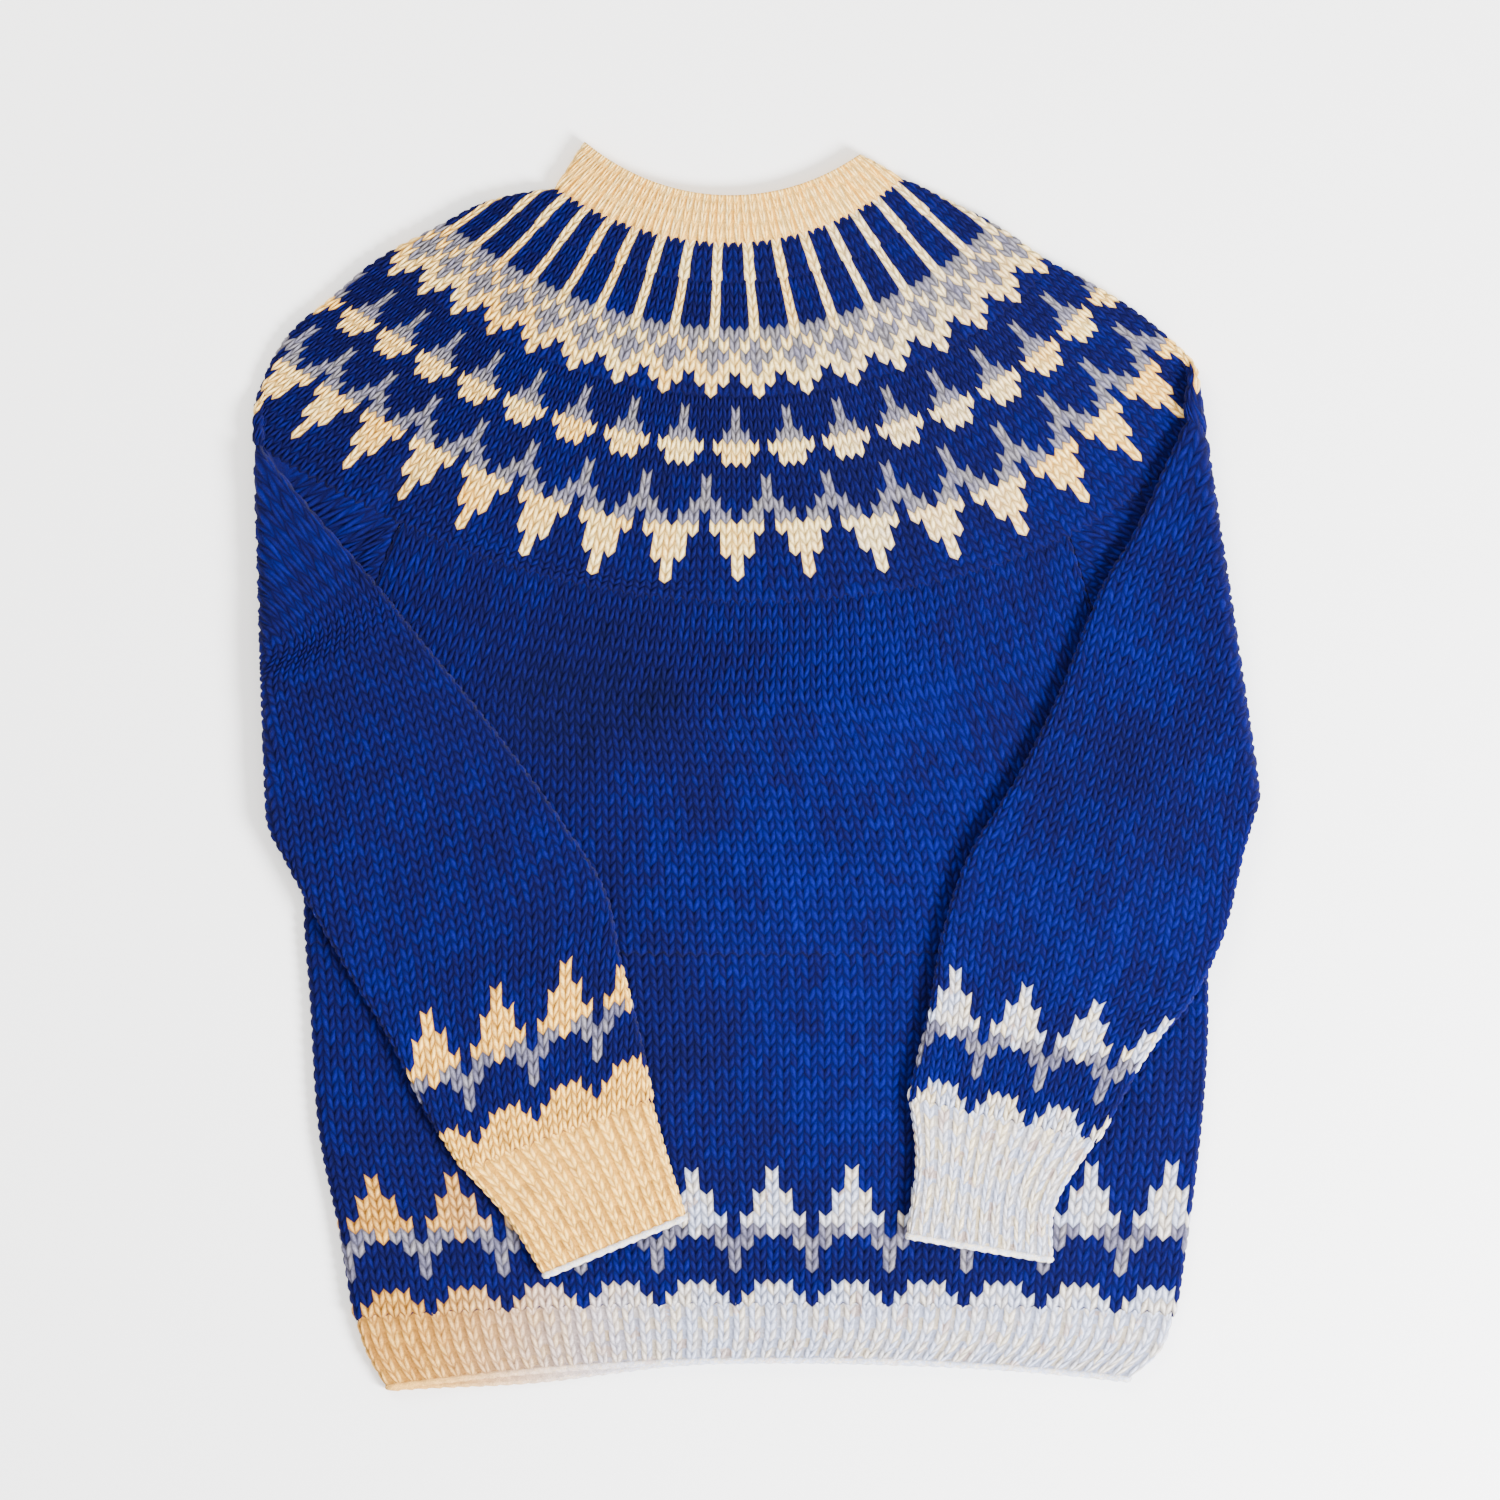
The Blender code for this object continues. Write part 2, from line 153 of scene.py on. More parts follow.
# Sleeve sections from the yoke down, as the sleeve lies: round of knitting, over-arm and under-arm edge.
SLEEVE_LEFT = (
    # round, over_x, over_y, under_x, under_y, turned
    (6.2, -221.4, 120.7, -228.4, 57.0, False),
    (15.2, -185.1, 76.7, -238.4, 32.2, False),
    (25.4, -144.4, 26.7, -263.7, -22.3, False),
    (35.6, -105.9, -25.0, -243.9, -75.1, True),
    (43.9, -78.9, -69.6, -217.0, -120.2, True),
    (48.6, -72.9, -98.7, -201.6, -145.5, True),
    (55.3, -62.4, -139.4, -181.2, -186.2, True),
    (62.0, -53.6, -180.7, -159.8, -220.3, True),
)
CUFF_LEFT = (
    # round, over_x, over_y, under_x, under_y, turned
    (0.0, -53.6, -180.7, -159.8, -220.3, True),
    (5.5, -46.5, -211.0, -135.5, -246.0, True),
    (11.0, -36.0, -243.9, -115.8, -276.9, True),
)
SLEEVE_RIGHT = (
    # round, over_x, over_y, under_x, under_y, turned
    (8.4, 207.6, 130.1, 197.5, 67.5, False),
    (13.1, 192.2, 104.8, 214.2, 52.5, False),
    (16.8, 182.9, 83.3, 234.6, 32.7, False),
    (23.5, 167.5, 44.3, 264.8, 3.6, False),
    (31.7, 144.4, -1.9, 270.9, -41.0, True),
    (40.6, 115.2, -50.3, 257.7, -92.7, True),
    (47.2, 102.6, -89.9, 241.2, -125.7, True),
    (53.3, 96.0, -127.3, 219.2, -152.1, True),
    (62.0, 83.3, -180.7, 189.5, -204.3, True),
)
CUFF_RIGHT = (
    # round, over_x, over_y, under_x, under_y, turned
    (0.0, 83.3, -180.7, 189.5, -204.3, True),
    (6.0, 88.3, -216.0, 166.5, -238.4, True),
    (11.0, 83.3, -254.4, 164.7, -268.1, True),
)
SLEEVE_ROUNDS = 62
CUFF_ROUNDS = 12
HEM_ROUNDS = 6
NECK_ROUNDS = 4
YOKE_ROUNDS = 32

# ---------------------------------------------------------------- stitches

BODY_STITCHES = 132
SLEEVE_STITCHES = 42
HEM_RIBS = 104
NECK_RIBS = 93
KNIT_SHARE = 0.74  # of a rib that its knit column takes up, the purl beside it taking the rest
CUFF_RIBS = 26
YOKE_REPEATS = 31
V_HEIGHT = 0.52  # rounds that a leg climbs from the middle of its stitch to its side
RELIEF = 1.7  # depth of the groove between two legs
NECK_RELIEF = 1.2
RIDGE_WIDTH = 0.75  # of a leg
TUCKED_LEVEL = -0.4
END_LEVEL = 0.6  # height of the wool at a piece's ends, as a share of the relief
TUCKED = (END_LEVEL, TUCKED_LEVEL)  # at the lower and the upper end
FINE = 3  # cuts along each leg, each way, where it is seen
COARSE = 2  # the same across the back
END_FADE = 0.3  # rounds over which the relief fades at a straight end
# relief given to the smooth inside, which sets how much painted groove shade it gets
LINING_LEVEL = 0.6
WOBBLE = 0.04  # unevenness of the stitches, as a share of one
WOBBLE_SHARE = 0.6

# A purl is one low hump between two ribs
PURL_LEG = 2
PURL_ROUNDNESS = 0.7
PURL_SWELL = 0.2
PURL_SINK = 0.25
RIB_LIFT = 0.2
RIB_EDGE = 0.1

# The cord that rolls over at a cast-on edge
CORD_RADIUS = 1.9
CORD_SIDES = 8
CORD_CUTS = 3  # along each stitch
CORD_SWELL = 0.16
CORD_TWIST = 1.1
CORD_LOWEST = 0.1
# relief given to the cord, which sets how much painted groove shade it gets
CORD_LEVEL = 0.75

# Heights in the square layout: the outside, the rims, the inside and the cord
LAYOUT_OUTSIDE = 0.93
LAYOUT_RIM = 0.94
LAYOUT_INSIDE = 0.95
LAYOUT_INSIDE_TALL = 0.04
LAYOUT_CORD = 0.992
LAYOUT_CORD_WIDE = 0.007

PLAIN = ("......",)

# Motifs are charted from the top down: . blue, C cream, G grey
EDGE_MOTIF = (
    "..C...",
    "..C...",
    ".CCC..",
    ".CCC..",
    "CCCCC.",
    "GGCGG.",
    "G...GG",
    ".....G",
    ".....G",
    "......",
    ".CCC..",
    "CCCCC.",
)
YOKE_LOWER = (
    "......",
    "..G...",
    "..G...",
    ".GGG..",
    "CCCCC.",
    ".CCC..",
    "......",
    ".....G",
    ".....G",
    "G...GG",
    "GG.GG.",
    "CCCCC.",
    ".CCC..",
    ".CCC..",
    "..C...",
    "..C...",
    "......",
    "......",
)
YOKE_LATTICE = (
    ".C..",
    ".C..",
    ".C..",
    ".C..",
    "GCGG",
    "CGCG",
    "GGGC",
    "CGCC",
    "CCC.",
    ".C..",
)
YOKE_RAYS = (
    ".C.",
    ".C.",
    ".C.",
    ".C.",
)
RIB = ("C",)


def lerp(a, b, share):
    return a + (b - a) * share


def unit(vector):
    return np.asarray(vector) / np.linalg.norm(vector, axis=-1, keepdims=True)


def smoothstep(low, high, value):
    t = np.clip((value - low) / (high - low), 0.0, 1.0)
    return t * t * (3 - 2 * t)


def through(knots, values, at):
    """A smooth curve through the values, which may be arrays, at each of the knots."""
    knots = np.asarray(knots, float)
    values = np.asarray(values, float)
    at = np.clip(at, knots[0], knots[-1])
    slope = np.gradient(values, knots, axis=0)
    i = np.clip(np.searchsorted(knots, at, side="right") - 1, 0, len(knots) - 2)
    span = (knots[i + 1] - knots[i]).reshape((-1,) + (1,) * (values.ndim - 1))
    t = (at - knots[i]).reshape(span.shape) / span
    rise = values[i] * (1 + 2 * t) * (1 - t) ** 2 + values[i + 1] * t * t * (3 - 2 * t)
    return rise + span * (slope[i] * t * (1 - t) ** 2 - slope[i + 1] * t * t * (1 - t))


# ---------------------------------------------------------------- the folds and the section lines


class Fold:
    """A line that a sleeve is folded about. The bend begins at start, and out points away from the body."""

    def __init__(self, edge_points, side):
        first, second = np.array(edge_points)
        along = unit(second - first)
        self.out = np.array([along[1], -along[0]])
        if self.out[0] * side < 0:
            self.out = -self.out
        self.start = first - self.out * FOLD_AXIS

    def reach(self, points):
        return (points[..., :2] - self.start) @ self.out

    def unfold(self, point):
        inward = (self.start - np.asarray(point)) @ self.out
        return np.asarray(point) + self.out * (2 * inward + FOLD_LENGTH)

    def fold_over(self, points):
        reach = self.reach(points)
        angle = np.clip(reach / FOLD_RADIUS, 0.0, math.pi)
        radius = FOLD_AXIS - points[..., 2]
        lies_at = np.where(reach > FOLD_LENGTH, FOLD_LENGTH - reach, radius * np.sin(angle))
        lies_at = np.where(reach < 0, reach, lies_at)
        folded = points.copy()
        folded[..., :2] += (lies_at - reach)[..., None] * self.out
        folded[..., 2] = FOLD_AXIS - radius * np.cos(angle)
        return folded


LEFT_FOLD = Fold(FOLD_LEFT, -1)
RIGHT_FOLD = Fold(FOLD_RIGHT, 1)
EDGE_CURVE = np.polyfit([row[0] for row in YOKE_EDGE], [row[1] for row in YOKE_EDGE], EDGE_DEGREE)


def polar(angle, radius):
    turn = np.radians(angle)
    return np.stack([YOKE_FOCUS[0] - radius * np.sin(turn), YOKE_FOCUS[1] - radius * np.cos(turn)], axis=-1)


def widened(radius, angle, grows_left, grows_right):
    grows = np.where(angle > 0, grows_left, grows_right)
    return radius * (1 + grows * (angle / WIDEN_ANGLE) ** 2)


def yoke_radius(angle, share):
    neck = widened(NECK_RADIUS, angle, NECK_WIDENS_LEFT, NECK_WIDENS_RIGHT)
    return neck + share * (np.polyval(EDGE_CURVE, angle) - neck)


def yoke_edge(angle, gap=0.0):
    return polar(angle, np.polyval(EDGE_CURVE, angle) + gap)


def body_line(left_x, left_y, right_x, right_y, hang):
    across = np.linspace(0.0, 1.0, LINE_STEPS + 1)
    x = lerp(left_x, right_x, across)
    y = lerp(left_y, right_y, across) - 4 * hang * across * (1 - across)
    return np.stack([x, y], axis=-1)


def sleeve_top_line(fold_angle, corner_angle, armpit, outward):
    half = LINE_STEPS // 2
    angle = np.linspace(fold_angle, corner_angle, half + 1)
    arc = yoke_edge(angle, np.linspace(SHOULDER_GAP, SEAM_GAP, half + 1))
    shift = np.array([CREASE_GAP * outward, 0.0])
    crease = lerp(arc[-1], np.asarray(armpit), np.linspace(0.0, 1.0, half + 1)[1:, None])
    return np.concatenate([arc + shift, crease + shift])


def sleeve_line(fold, over, under, turned):
    over = fold.unfold(over)
    under = fold.unfold(under) if turned else np.asarray(under)
    return lerp(over, under, np.linspace(0.0, 1.0, LINE_STEPS + 1)[:, None])


def evened(line):
    """The same line with its points spaced evenly."""
    distance = np.concatenate([[0.0], np.cumsum(np.linalg.norm(np.diff(line, axis=0), axis=1))])
    at = np.linspace(0.0, distance[-1], LINE_STEPS + 1)
    return np.stack([np.interp(at, distance, line[:, axis]) for axis in (0, 1)], axis=-1)


# ---------------------------------------------------------------- flattened tubes


class Tube:
    """A flattened tube through section lines. rounds count up towards the side that the V's open to."""

    PER_ROUND = 4

    def __init__(self, rounds, lines, folds=(), drop=None):
        order = np.argsort(rounds)
        rounds = np.asarray(rounds, float)[order]
        lines = np.array(lines)[order]
        self.low, self.high = rounds[0], rounds[-1]
        steps = int(round((self.high - self.low) * self.PER_ROUND))
        self.rounds = np.linspace(self.low, self.high, steps + 1)
        self.lines = through(rounds, lines, self.rounds)
        self.lengths = np.linalg.norm(np.diff(self.lines, axis=1), axis=2).sum(axis=1)
        self.folds = folds
        self.drop = drop

    def on_line(self, where, at):
        """Points at shares of the section lines, both given as arrays of one shape."""
        up = (np.clip(where, self.low, self.high) - self.low) / (self.high - self.low)
        i = up * (len(self.rounds) - 1)
        j = np.clip(at, 0.0, 1.0) * LINE_STEPS
        i0 = np.clip(i.astype(int), 0, len(self.rounds) - 2)
        j0 = np.clip(j.astype(int), 0, LINE_STEPS - 1)
        u, v = (i - i0)[..., None], (j - j0)[..., None]
        rows = self.lines
        near = rows[i0, j0] * (1 - v) + rows[i0, j0 + 1] * v
        far = rows[i0 + 1, j0] * (1 - v) + rows[i0 + 1, j0 + 1] * v
        return near * (1 - u) + far * u

    def length(self, where):
        return np.interp(where, self.rounds, self.lengths)

    def path(self, turn, where):
        """Share of the section line, side bend angle and layer for a place on the ring.

        turn runs from 0 at the middle of the left bend, over the front to 0.5 at the right bend, and back
        under the back to 1."""
        turn = np.mod(turn, 1.0)
        flat = self.length(where) - 2 * OUTER_BEND
        bend = math.pi * OUTER_BEND
        whole = 2 * (flat + bend)
        along = np.where(turn < 0.5, turn, 1.0 - turn) * whole
        layer = np.where(turn < 0.5, 1.0, -1.0)
        rest = along - bend / 2
        at = OUTER_BEND + np.clip(rest, 0.0, flat)
        beyond = np.where(rest < 0, rest, np.maximum(rest - flat, 0.0))
        return at / (flat + 2 * OUTER_BEND), beyond / OUTER_BEND, layer

    def place(self, turn, where, lift):
        """Points on the cloth, lift above its outside, as it lies."""
        share, beyond, layer = self.path(turn, where)
        flat = self.on_line(where, share)
        margin = OUTER_BEND / self.length(where)
        left_end, right_end = self.on_line(where, margin), self.on_line(where, 1 - margin)
        away_left = unit(self.on_line(where, 0 * margin) - left_end)
        away_right = unit(self.on_line(where, 1 + 0 * margin) - right_end)
        away = np.where((beyond < 0)[..., None], away_left, away_right)
        radius = OUTER_BEND + lift
        points = np.empty(flat.shape[:-1] + (3,))
        points[..., :2] = flat + away * (radius * np.sin(np.abs(beyond)))[..., None]
        points[..., 2] = MID_HEIGHT + layer * radius * np.cos(beyond)
        if self.drop is not None:
            points[..., 1] -= np.where(layer < 0, self.drop(share, where), 0.0) * np.cos(beyond)
        for fold in self.folds:
            points = fold.fold_over(points)
        return points


# How far a round of the yoke is shifted towards the neck at angles across the front, positive to the right
LIES_AT = (-44.0, -34.0, -20.0, -10.0, 0.0, 10.0, 20.0, 34.0, 44.0)
YOKE_LIES = (
    # round, then its shift in rounds at each of those angles
    (-2.0, 0.0, 0.0, 0.0, 0.0, 0.0, 0.0, 0.0, 0.0, 0.0),
    (1.0, 0.2, -0.2, -1.0, -1.1, 0.0, 0.2, -0.6, -0.5, 0.2),
    (5.0, 0.3, 0.2, -0.4, -0.6, 0.0, 0.0, -0.7, -0.8, 0.0),
    (12.0, 0.0, 0.0, 0.0, 0.0, 0.0, 0.0, 0.0, 0.0, 0.0),
    (19.0, 0.0, 0.0, 0.0, 0.0, 0.0, 0.0, 0.0, 0.0, 0.0),
    (30.0, 0.0, 0.0, 0.0, 0.0, 0.0, 0.0, 0.0, 0.0, 0.0),
)


class Yoke(Tube):
    """The yoke: its wales follow the rays of the motifs in front, and share the rest of the ring evenly."""

    RAY_SPACING = 7.55
    RAY_CLOSING_LEFT = 0.0155
    RAY_CLOSING_RIGHT = 0.0125
    RAY_OFFSET = -0.8
    CLOSING_ENDS = 8.0

    def __init__(self, rounds, lines, angles, folds, lies=None):
        super().__init__(rounds, lines, folds)
        self.lies = lies
        order = np.argsort(rounds)
        knots = np.asarray(rounds, float)[order]
        self.angles = through(knots, np.array(angles)[order], self.rounds)
        table = np.linspace(-14.0, 14.0, 561)
        self.ray_table = (table, np.array([self.ray_angle(ray) for ray in table]))

    def place(self, turn, where, lift):
        """The same, once rounds that don't lie evenly are moved up or down."""
        if self.lies is None:
            return super().place(turn, where, lift)
        share = self.path(turn, where)[0]
        left = np.interp(where, self.rounds, self.angles[:, 0])
        right = np.interp(where, self.rounds, self.angles[:, 1])
        angle = lerp(left, right, share)
        shift = np.zeros(where.shape)
        for (low, *low_shifts), (high, *high_shifts) in zip(self.lies, self.lies[1:]):
            between = (where >= low) & (where <= high)
            below, above = (np.interp(-angle, LIES_AT, shifts) for shifts in (low_shifts, high_shifts))
            shift = np.where(between, lerp(below, above, smoothstep(low, high, where)), shift)
        return super().place(turn, where + shift, lift)

    def ray_angle(self, ray):
        closing = self.RAY_CLOSING_LEFT if ray > 0 else self.RAY_CLOSING_RIGHT
        near = max(-self.CLOSING_ENDS, min(ray, self.CLOSING_ENDS))
        slope = self.RAY_SPACING - 3 * closing * near**2
        return self.RAY_SPACING * near - closing * near**3 + slope * (ray - near) + self.RAY_OFFSET

    def path(self, ray, where):
        """Here the place on the ring is a number of rays, counted to the right from the front's middle."""
        left = np.interp(where, self.rounds, self.angles[:, 0])
        right = np.interp(where, self.rounds, self.angles[:, 1])
        length = self.length(where)
        margin = OUTER_BEND / length
        trim = margin * (left - right)
        rays, angles = self.ray_table
        first = -np.interp(left - trim, angles, rays)
        last = -np.interp(right + trim, angles, rays)
        ray = first + np.mod(ray - first, YOKE_REPEATS)
        on_front = ray <= last
        angle = np.interp(-ray, rays, angles)
        front_share = (left - angle) / (left - right)
        flat = length - 2 * OUTER_BEND
        bend = math.pi * OUTER_BEND
        rest = (ray - last) / (YOKE_REPEATS - (last - first)) * (flat + 2 * bend)
        round_right = np.clip(rest, 0.0, bend)
        round_left = np.clip(rest - bend - flat, 0.0, bend)
        back_share = 1 - (OUTER_BEND + np.clip(rest - bend, 0.0, flat)) / length
        share = np.where(on_front, front_share, back_share)
        turned = np.where(round_left > 0, bend - round_left, round_right) / OUTER_BEND
        turned = np.where(on_front, 0.0, turned)
        layer = np.where(turned > math.pi / 2, -1.0, 1.0)
        beyond = np.where(turned > math.pi / 2, math.pi - turned, turned)
        beyond = np.where(round_left > 0, -beyond, beyond)
        return share, beyond, layer


# ---------------------------------------------------------------- soft waves that go through all the layers

WAVES = (
    # x, y, heading, length, width, height
    (-249.0, 141.0, -49.0, 38.0, 8.0, 3.4),
    (-199.0, 152.0, 58.0, 36.0, 6.0, -4.2),
    (-228.0, 118.0, -49.0, 30.0, 6.0, -2.4),
    (-120.0, 20.0, 35.0, 90.0, 26.0, -1.6),
    (20.0, -60.0, 15.0, 110.0, 30.0, 2.0),
    (30.0, 40.0, 170.0, 120.0, 24.0, 1.8),
    (-60.0, -150.0, 160.0, 90.0, 26.0, 1.4),
    (120.0, 60.0, 60.0, 80.0, 22.0, -1.5),
    (150.0, 200.0, 130.0, 70.0, 22.0, 1.2),
    (-160.0, 210.0, 50.0, 70.0, 22.0, 1.4),
    (0.0, 250.0, 5.0, 60.0, 18.0, 0.8),
    (-130.0, -270.0, 10.0, 80.0, 18.0, 1.2),
    (60.0, -285.0, 175.0, 90.0, 18.0, 1.4),
    (215.0, -180.0, 80.0, 110.0, 20.0, 1.4),
    (-225.0, -120.0, 95.0, 110.0, 18.0, 1.2),
    (-150.0, -40.0, 130.0, 110.0, 20.0, 2.0),
    (210.0, -30.0, 60.0, 100.0, 24.0, 1.8),
)
WAVE_BOW = 0.0016  # how far a wave curves along its length
BODY_SWELL = 1.2
WAVES_LIFT = 1.0
WAVES_FROM, WAVES_WHOLE = 2.0, 7.0  # heights where the waves begin and where they have their full size


def waves(points):
    """Raises and lowers every layer together, nothing at the floor and most at the top."""
    x, y = points[..., 0], points[..., 1]
    height = np.zeros(x.shape)
    for wave_x, wave_y, heading, length, width, rise in WAVES:
        turn = math.radians(heading)
        along = (x - wave_x) * math.cos(turn) + (y - wave_y) * math.sin(turn)
        across = (y - wave_y) * math.cos(turn) - (x - wave_x) * math.sin(turn)
        across = across + WAVE_BOW * along**2
        height += rise * np.exp(-((along / length) ** 2) - (across / width) ** 2)
    height += BODY_SWELL * (np.sin(x * 0.021 + 0.9) * np.sin(y * 0.017 + 0.4))
    moved = points.copy()
    moved[..., 2] += (height + WAVES_LIFT) * smoothstep(WAVES_FROM, WAVES_WHOLE, points[..., 2])
    return moved


# ---------------------------------------------------------------- colours

BLUE = (0.0030, 0.0028, 0.062)
NAVY = (0.0020, 0.0026, 0.032)
ROYAL = (0.0015, 0.0048, 0.150)
CREAM = (0.99, 0.78, 0.38)
GOLD = (0.99, 0.61, 0.16)
HONEY = (0.66, 0.35, 0.09)
ICE = (0.54, 0.58, 0.74)
TAN = (0.62, 0.38, 0.16)
GREY = (0.23, 0.215, 0.235)
LAVENDER = (0.14, 0.135, 0.21)

# Places where the blue runs lighter or darker, partly the yarn's own uneven dye and partly painted light
# and painted shade: middle, radius and how far towards royal or navy
BLUE_DYE_LIGHT_AND_SHADE_PATCHES = (
    # x, y, radius, shade
    (72.0, 48.0, 50.0, 0.45),
    (9.0, -65.0, 58.0, 0.4),
    (199.0, 72.0, 40.0, 0.35),
    (42.0, -153.0, 62.0, 0.35),
    (120.0, -30.0, 45.0, 0.3),
    (-54.0, 42.0, 34.0, -0.45),
    (-20.0, -20.0, 24.0, -0.3),
    (-106.0, 37.0, 34.0, -0.45),
    (-245.0, -80.0, 40.0, 0.1),
    (190.0, -80.0, 70.0, 0.3),
    (-60.0, -150.0, 34.0, -0.35),
    (0.0, 210.0, 50.0, -0.25),
)

RANDOM = np.random.default_rng(11)


def patchy(points, size, seed):
    """A slow, smooth variation from -1 to 1 over the cloth."""
    x, y = points[..., 0] / size, points[..., 1] / size
    value = np.sin(1.7 * x + 0.9 * y + seed) + np.sin(-1.1 * x + 1.6 * y + 2.1 * seed)
    value += np.sin(2.9 * x - 0.7 * y + 3.7 * seed) * 0.7 + np.sin(0.6 * x + 3.3 * y + 5.3 * seed) * 0.7
    return np.clip(value / 2.4, -1, 1)


def mixed(a, b, share):
    return lerp(np.asarray(a)[None, :], np.asarray(b)[None, :], np.clip(share, 0, 1)[:, None])


def blues(points, tone):
    value = 0.16 * patchy(points, 70.0, 0.7) + 0.14 * patchy(points, 17.0, 2.2) + 0.3 * tone
    # these patches add painted light and painted shade to the dye's own patchiness
    for x, y, radius, shade in BLUE_DYE_LIGHT_AND_SHADE_PATCHES:
        value = value + shade * np.exp(-((points[:, 0] - x) ** 2 + (points[:, 1] - y) ** 2) / radius**2)
    return np.where((value > 0)[:, None], mixed(BLUE, ROYAL, value), mixed(BLUE, NAVY, -value))


def yoke_creams(points, tone):
    sides = smoothstep(40.0, 200.0, np.abs(points[:, 0] - 30.0))
    golden = 0.1 + 0.45 * sides + 0.3 * patchy(points, 24.0, 1.9) + 0.25 * tone
    # a paler, bluish pool right of the middle is painted light
    painted_cool_light_pool = smoothstep(90.0, 20.0, np.abs(points[:, 0] - 90.0)) * 0.35
    warm, cool_light = mixed(CREAM, GOLD, golden), mixed(CREAM, ICE, 0.6 + 0.3 * tone)
    return warm * (1 - painted_cool_light_pool[:, None]) + cool_light * painted_cool_light_pool[:, None]


def yoke_greys(points, tone):
    return mixed(GREY, LAVENDER, 0.3 + 0.5 * tone) * (1 + 0.15 * tone[:, None])


def hem_creams(points, tone):
    """Golden at the left and bluish at the right with tan flecks; the golden and the bluish are painted
    warm light and painted bluish light, the flecks are the yarn's.
    """
    cool_light = smoothstep(-190.0, -30.0, points[:, 0])
    base = 0.92 * mixed(HONEY, GOLD, 0.05 + 0.35 * tone)
    base = lerp(base, 0.94 * mixed(CREAM, ICE, 0.9 + 0.4 * tone), cool_light[:, None])
    fleck = (patchy(points, 6.0, 4.1) + 0.7 * tone > 1.15) * cool_light
    return lerp(base, np.asarray(TAN)[None, :], 0.45 * fleck[:, None])


def left_cuff_creams(points, tone):
    # the cream yarn given golden all over: painted warm light on the left
    return mixed(GOLD, HONEY, 0.15 - 0.4 * tone) * (1 + 0.05 * tone[:, None])


def right_cuff_creams(points, tone):
    # the cream yarn given bluish: painted bluish light on the right; the tan flecks are the yarn's
    fleck = patchy(points, 6.0, 1.1) + 0.7 * tone > 1.1
    return lerp(mixed(CREAM, ICE, 0.75 + 0.4 * tone), np.asarray(TAN)[None, :], 0.5 * fleck[:, None])


def hem_greys(points, tone):
    return mixed(LAVENDER, GREY, 0.3 + 0.5 * tone) * (1 + 0.15 * tone[:, None])


def cool_edge(points, tone):
    return mixed(ICE, CREAM, 0.3 + 0.35 * tone)


def neck_creams(points, tone):
    return mixed(CREAM, GOLD, 0.75 + 0.4 * tone) * (1.03 + 0.05 * tone[:, None])


# ---------------------------------------------------------------- knitting


def rib_place(place):
    """Where a place counted in stitches lies counted in ribs of one knit and one narrow purl column."""
    rib, part = np.divmod(place, 2.0)
    return rib + np.where(part < 1, part * KNIT_SHARE, KNIT_SHARE + (part - 1) * (1 - KNIT_SHARE))


def leg_relief(across, along, leg):
    """Height from 0 to 1 of one leg of a stitch: plump, with its ridge along the longer diagonal."""
    body = (np.sin(math.pi * across) * np.sin(math.pi * along)).clip(0) ** 0.5
    ridge = np.where(leg == 0, across + along - 1, across - along)
    return body * np.exp(-((ridge / RIDGE_WIDTH) ** 2))


def grid_corners(index):
    """The four corners of each cell in a grid of points whose rows close round the tube."""
    beside = np.roll(index, -1, axis=1)
    return index[:-1], beside[:-1], beside[1:], index[1:]


def triangles_of(*corners):
    return np.stack(corners, axis=-1).reshape(-1, 3)


def outward(points, faces):
    """The faces of a closed shell, turned if they looked inwards."""
    corners = points[faces]
    volume = np.einsum("ij,ij->i", corners[:, 0], np.cross(corners[:, 1], corners[:, 2])).sum()
    return faces[:, ::-1].copy() if volume < 0 else faces


def past_the_join(share):
    """Shares of the way round at the corners of faces, with 1 added where a face would cross the join."""
    crosses = (share.max(axis=1) - share.min(axis=1)) > 0.5
    return np.where(crosses[:, None] & (share < 0.5), share + 1.0, share)


def cast_on_edge(ring, colours):
    """The cast-on edge, a closed twisted cord along a ring of points. Gives its colours and layout too."""
    count = len(ring)
    along = unit(np.roll(ring, -1, axis=0) - np.roll(ring, 1, axis=0))
    level = unit(np.cross(along, (0.0, 0.0, 1.0)) + 1e-6)
    upright = np.cross(level, along)
    turn = np.arange(CORD_SIDES) * 2 * math.pi / CORD_SIDES
    swell = CORD_SWELL * np.cos(turn[None, :] * 2 + np.arange(count)[:, None] * CORD_TWIST)
    radius = CORD_RADIUS * (1 + swell)
    sideways = (radius * np.cos(turn))[..., None] * level[:, None]
    upwards = (radius * np.sin(turn))[..., None] * upright[:, None]
    points = ring[:, None] + sideways + upwards
    points[..., 2] = np.maximum(points[..., 2], CORD_LOWEST)
    points = points.reshape(-1, 3)
    a = np.arange(count * CORD_SIDES).reshape(count, CORD_SIDES)
    b = np.roll(a, -1, axis=1)
    c, d = np.roll(b, -1, axis=0), np.roll(a, -1, axis=0)
    faces = np.concatenate([triangles_of(a, b, c), triangles_of(a, c, d)])
    centres = points[faces].mean(axis=1)
    faces = outward(points, faces)
    dye = colours(centres, RANDOM.uniform(-1, 1, len(centres)))
    around = past_the_join((faces % CORD_SIDES) / CORD_SIDES)
    run = past_the_join((faces // CORD_SIDES) / count)
    return points, faces, dye, np.stack([run, LAYOUT_CORD + LAYOUT_CORD_WIDE * around], axis=-1)


def columns_of(stitches, legs_of, cuts_of):
    """The grid's columns round the tube. Gives each column's place in stitches, and its cell's leg."""
    place, across, stitch, leg = [], [], [], []
    for number in range(stitches):
        legs = legs_of(number)
        for side in range(legs):
            cuts = cuts_of(number)
            for cut in range(cuts):
                place.append(number + (side + cut / cuts) / legs)
                across.append(cut / cuts)
                stitch.append(number)
                leg.append(side if legs == 2 else PURL_LEG)
    return np.array(place), np.array(across), np.array(stitch), np.array(leg)


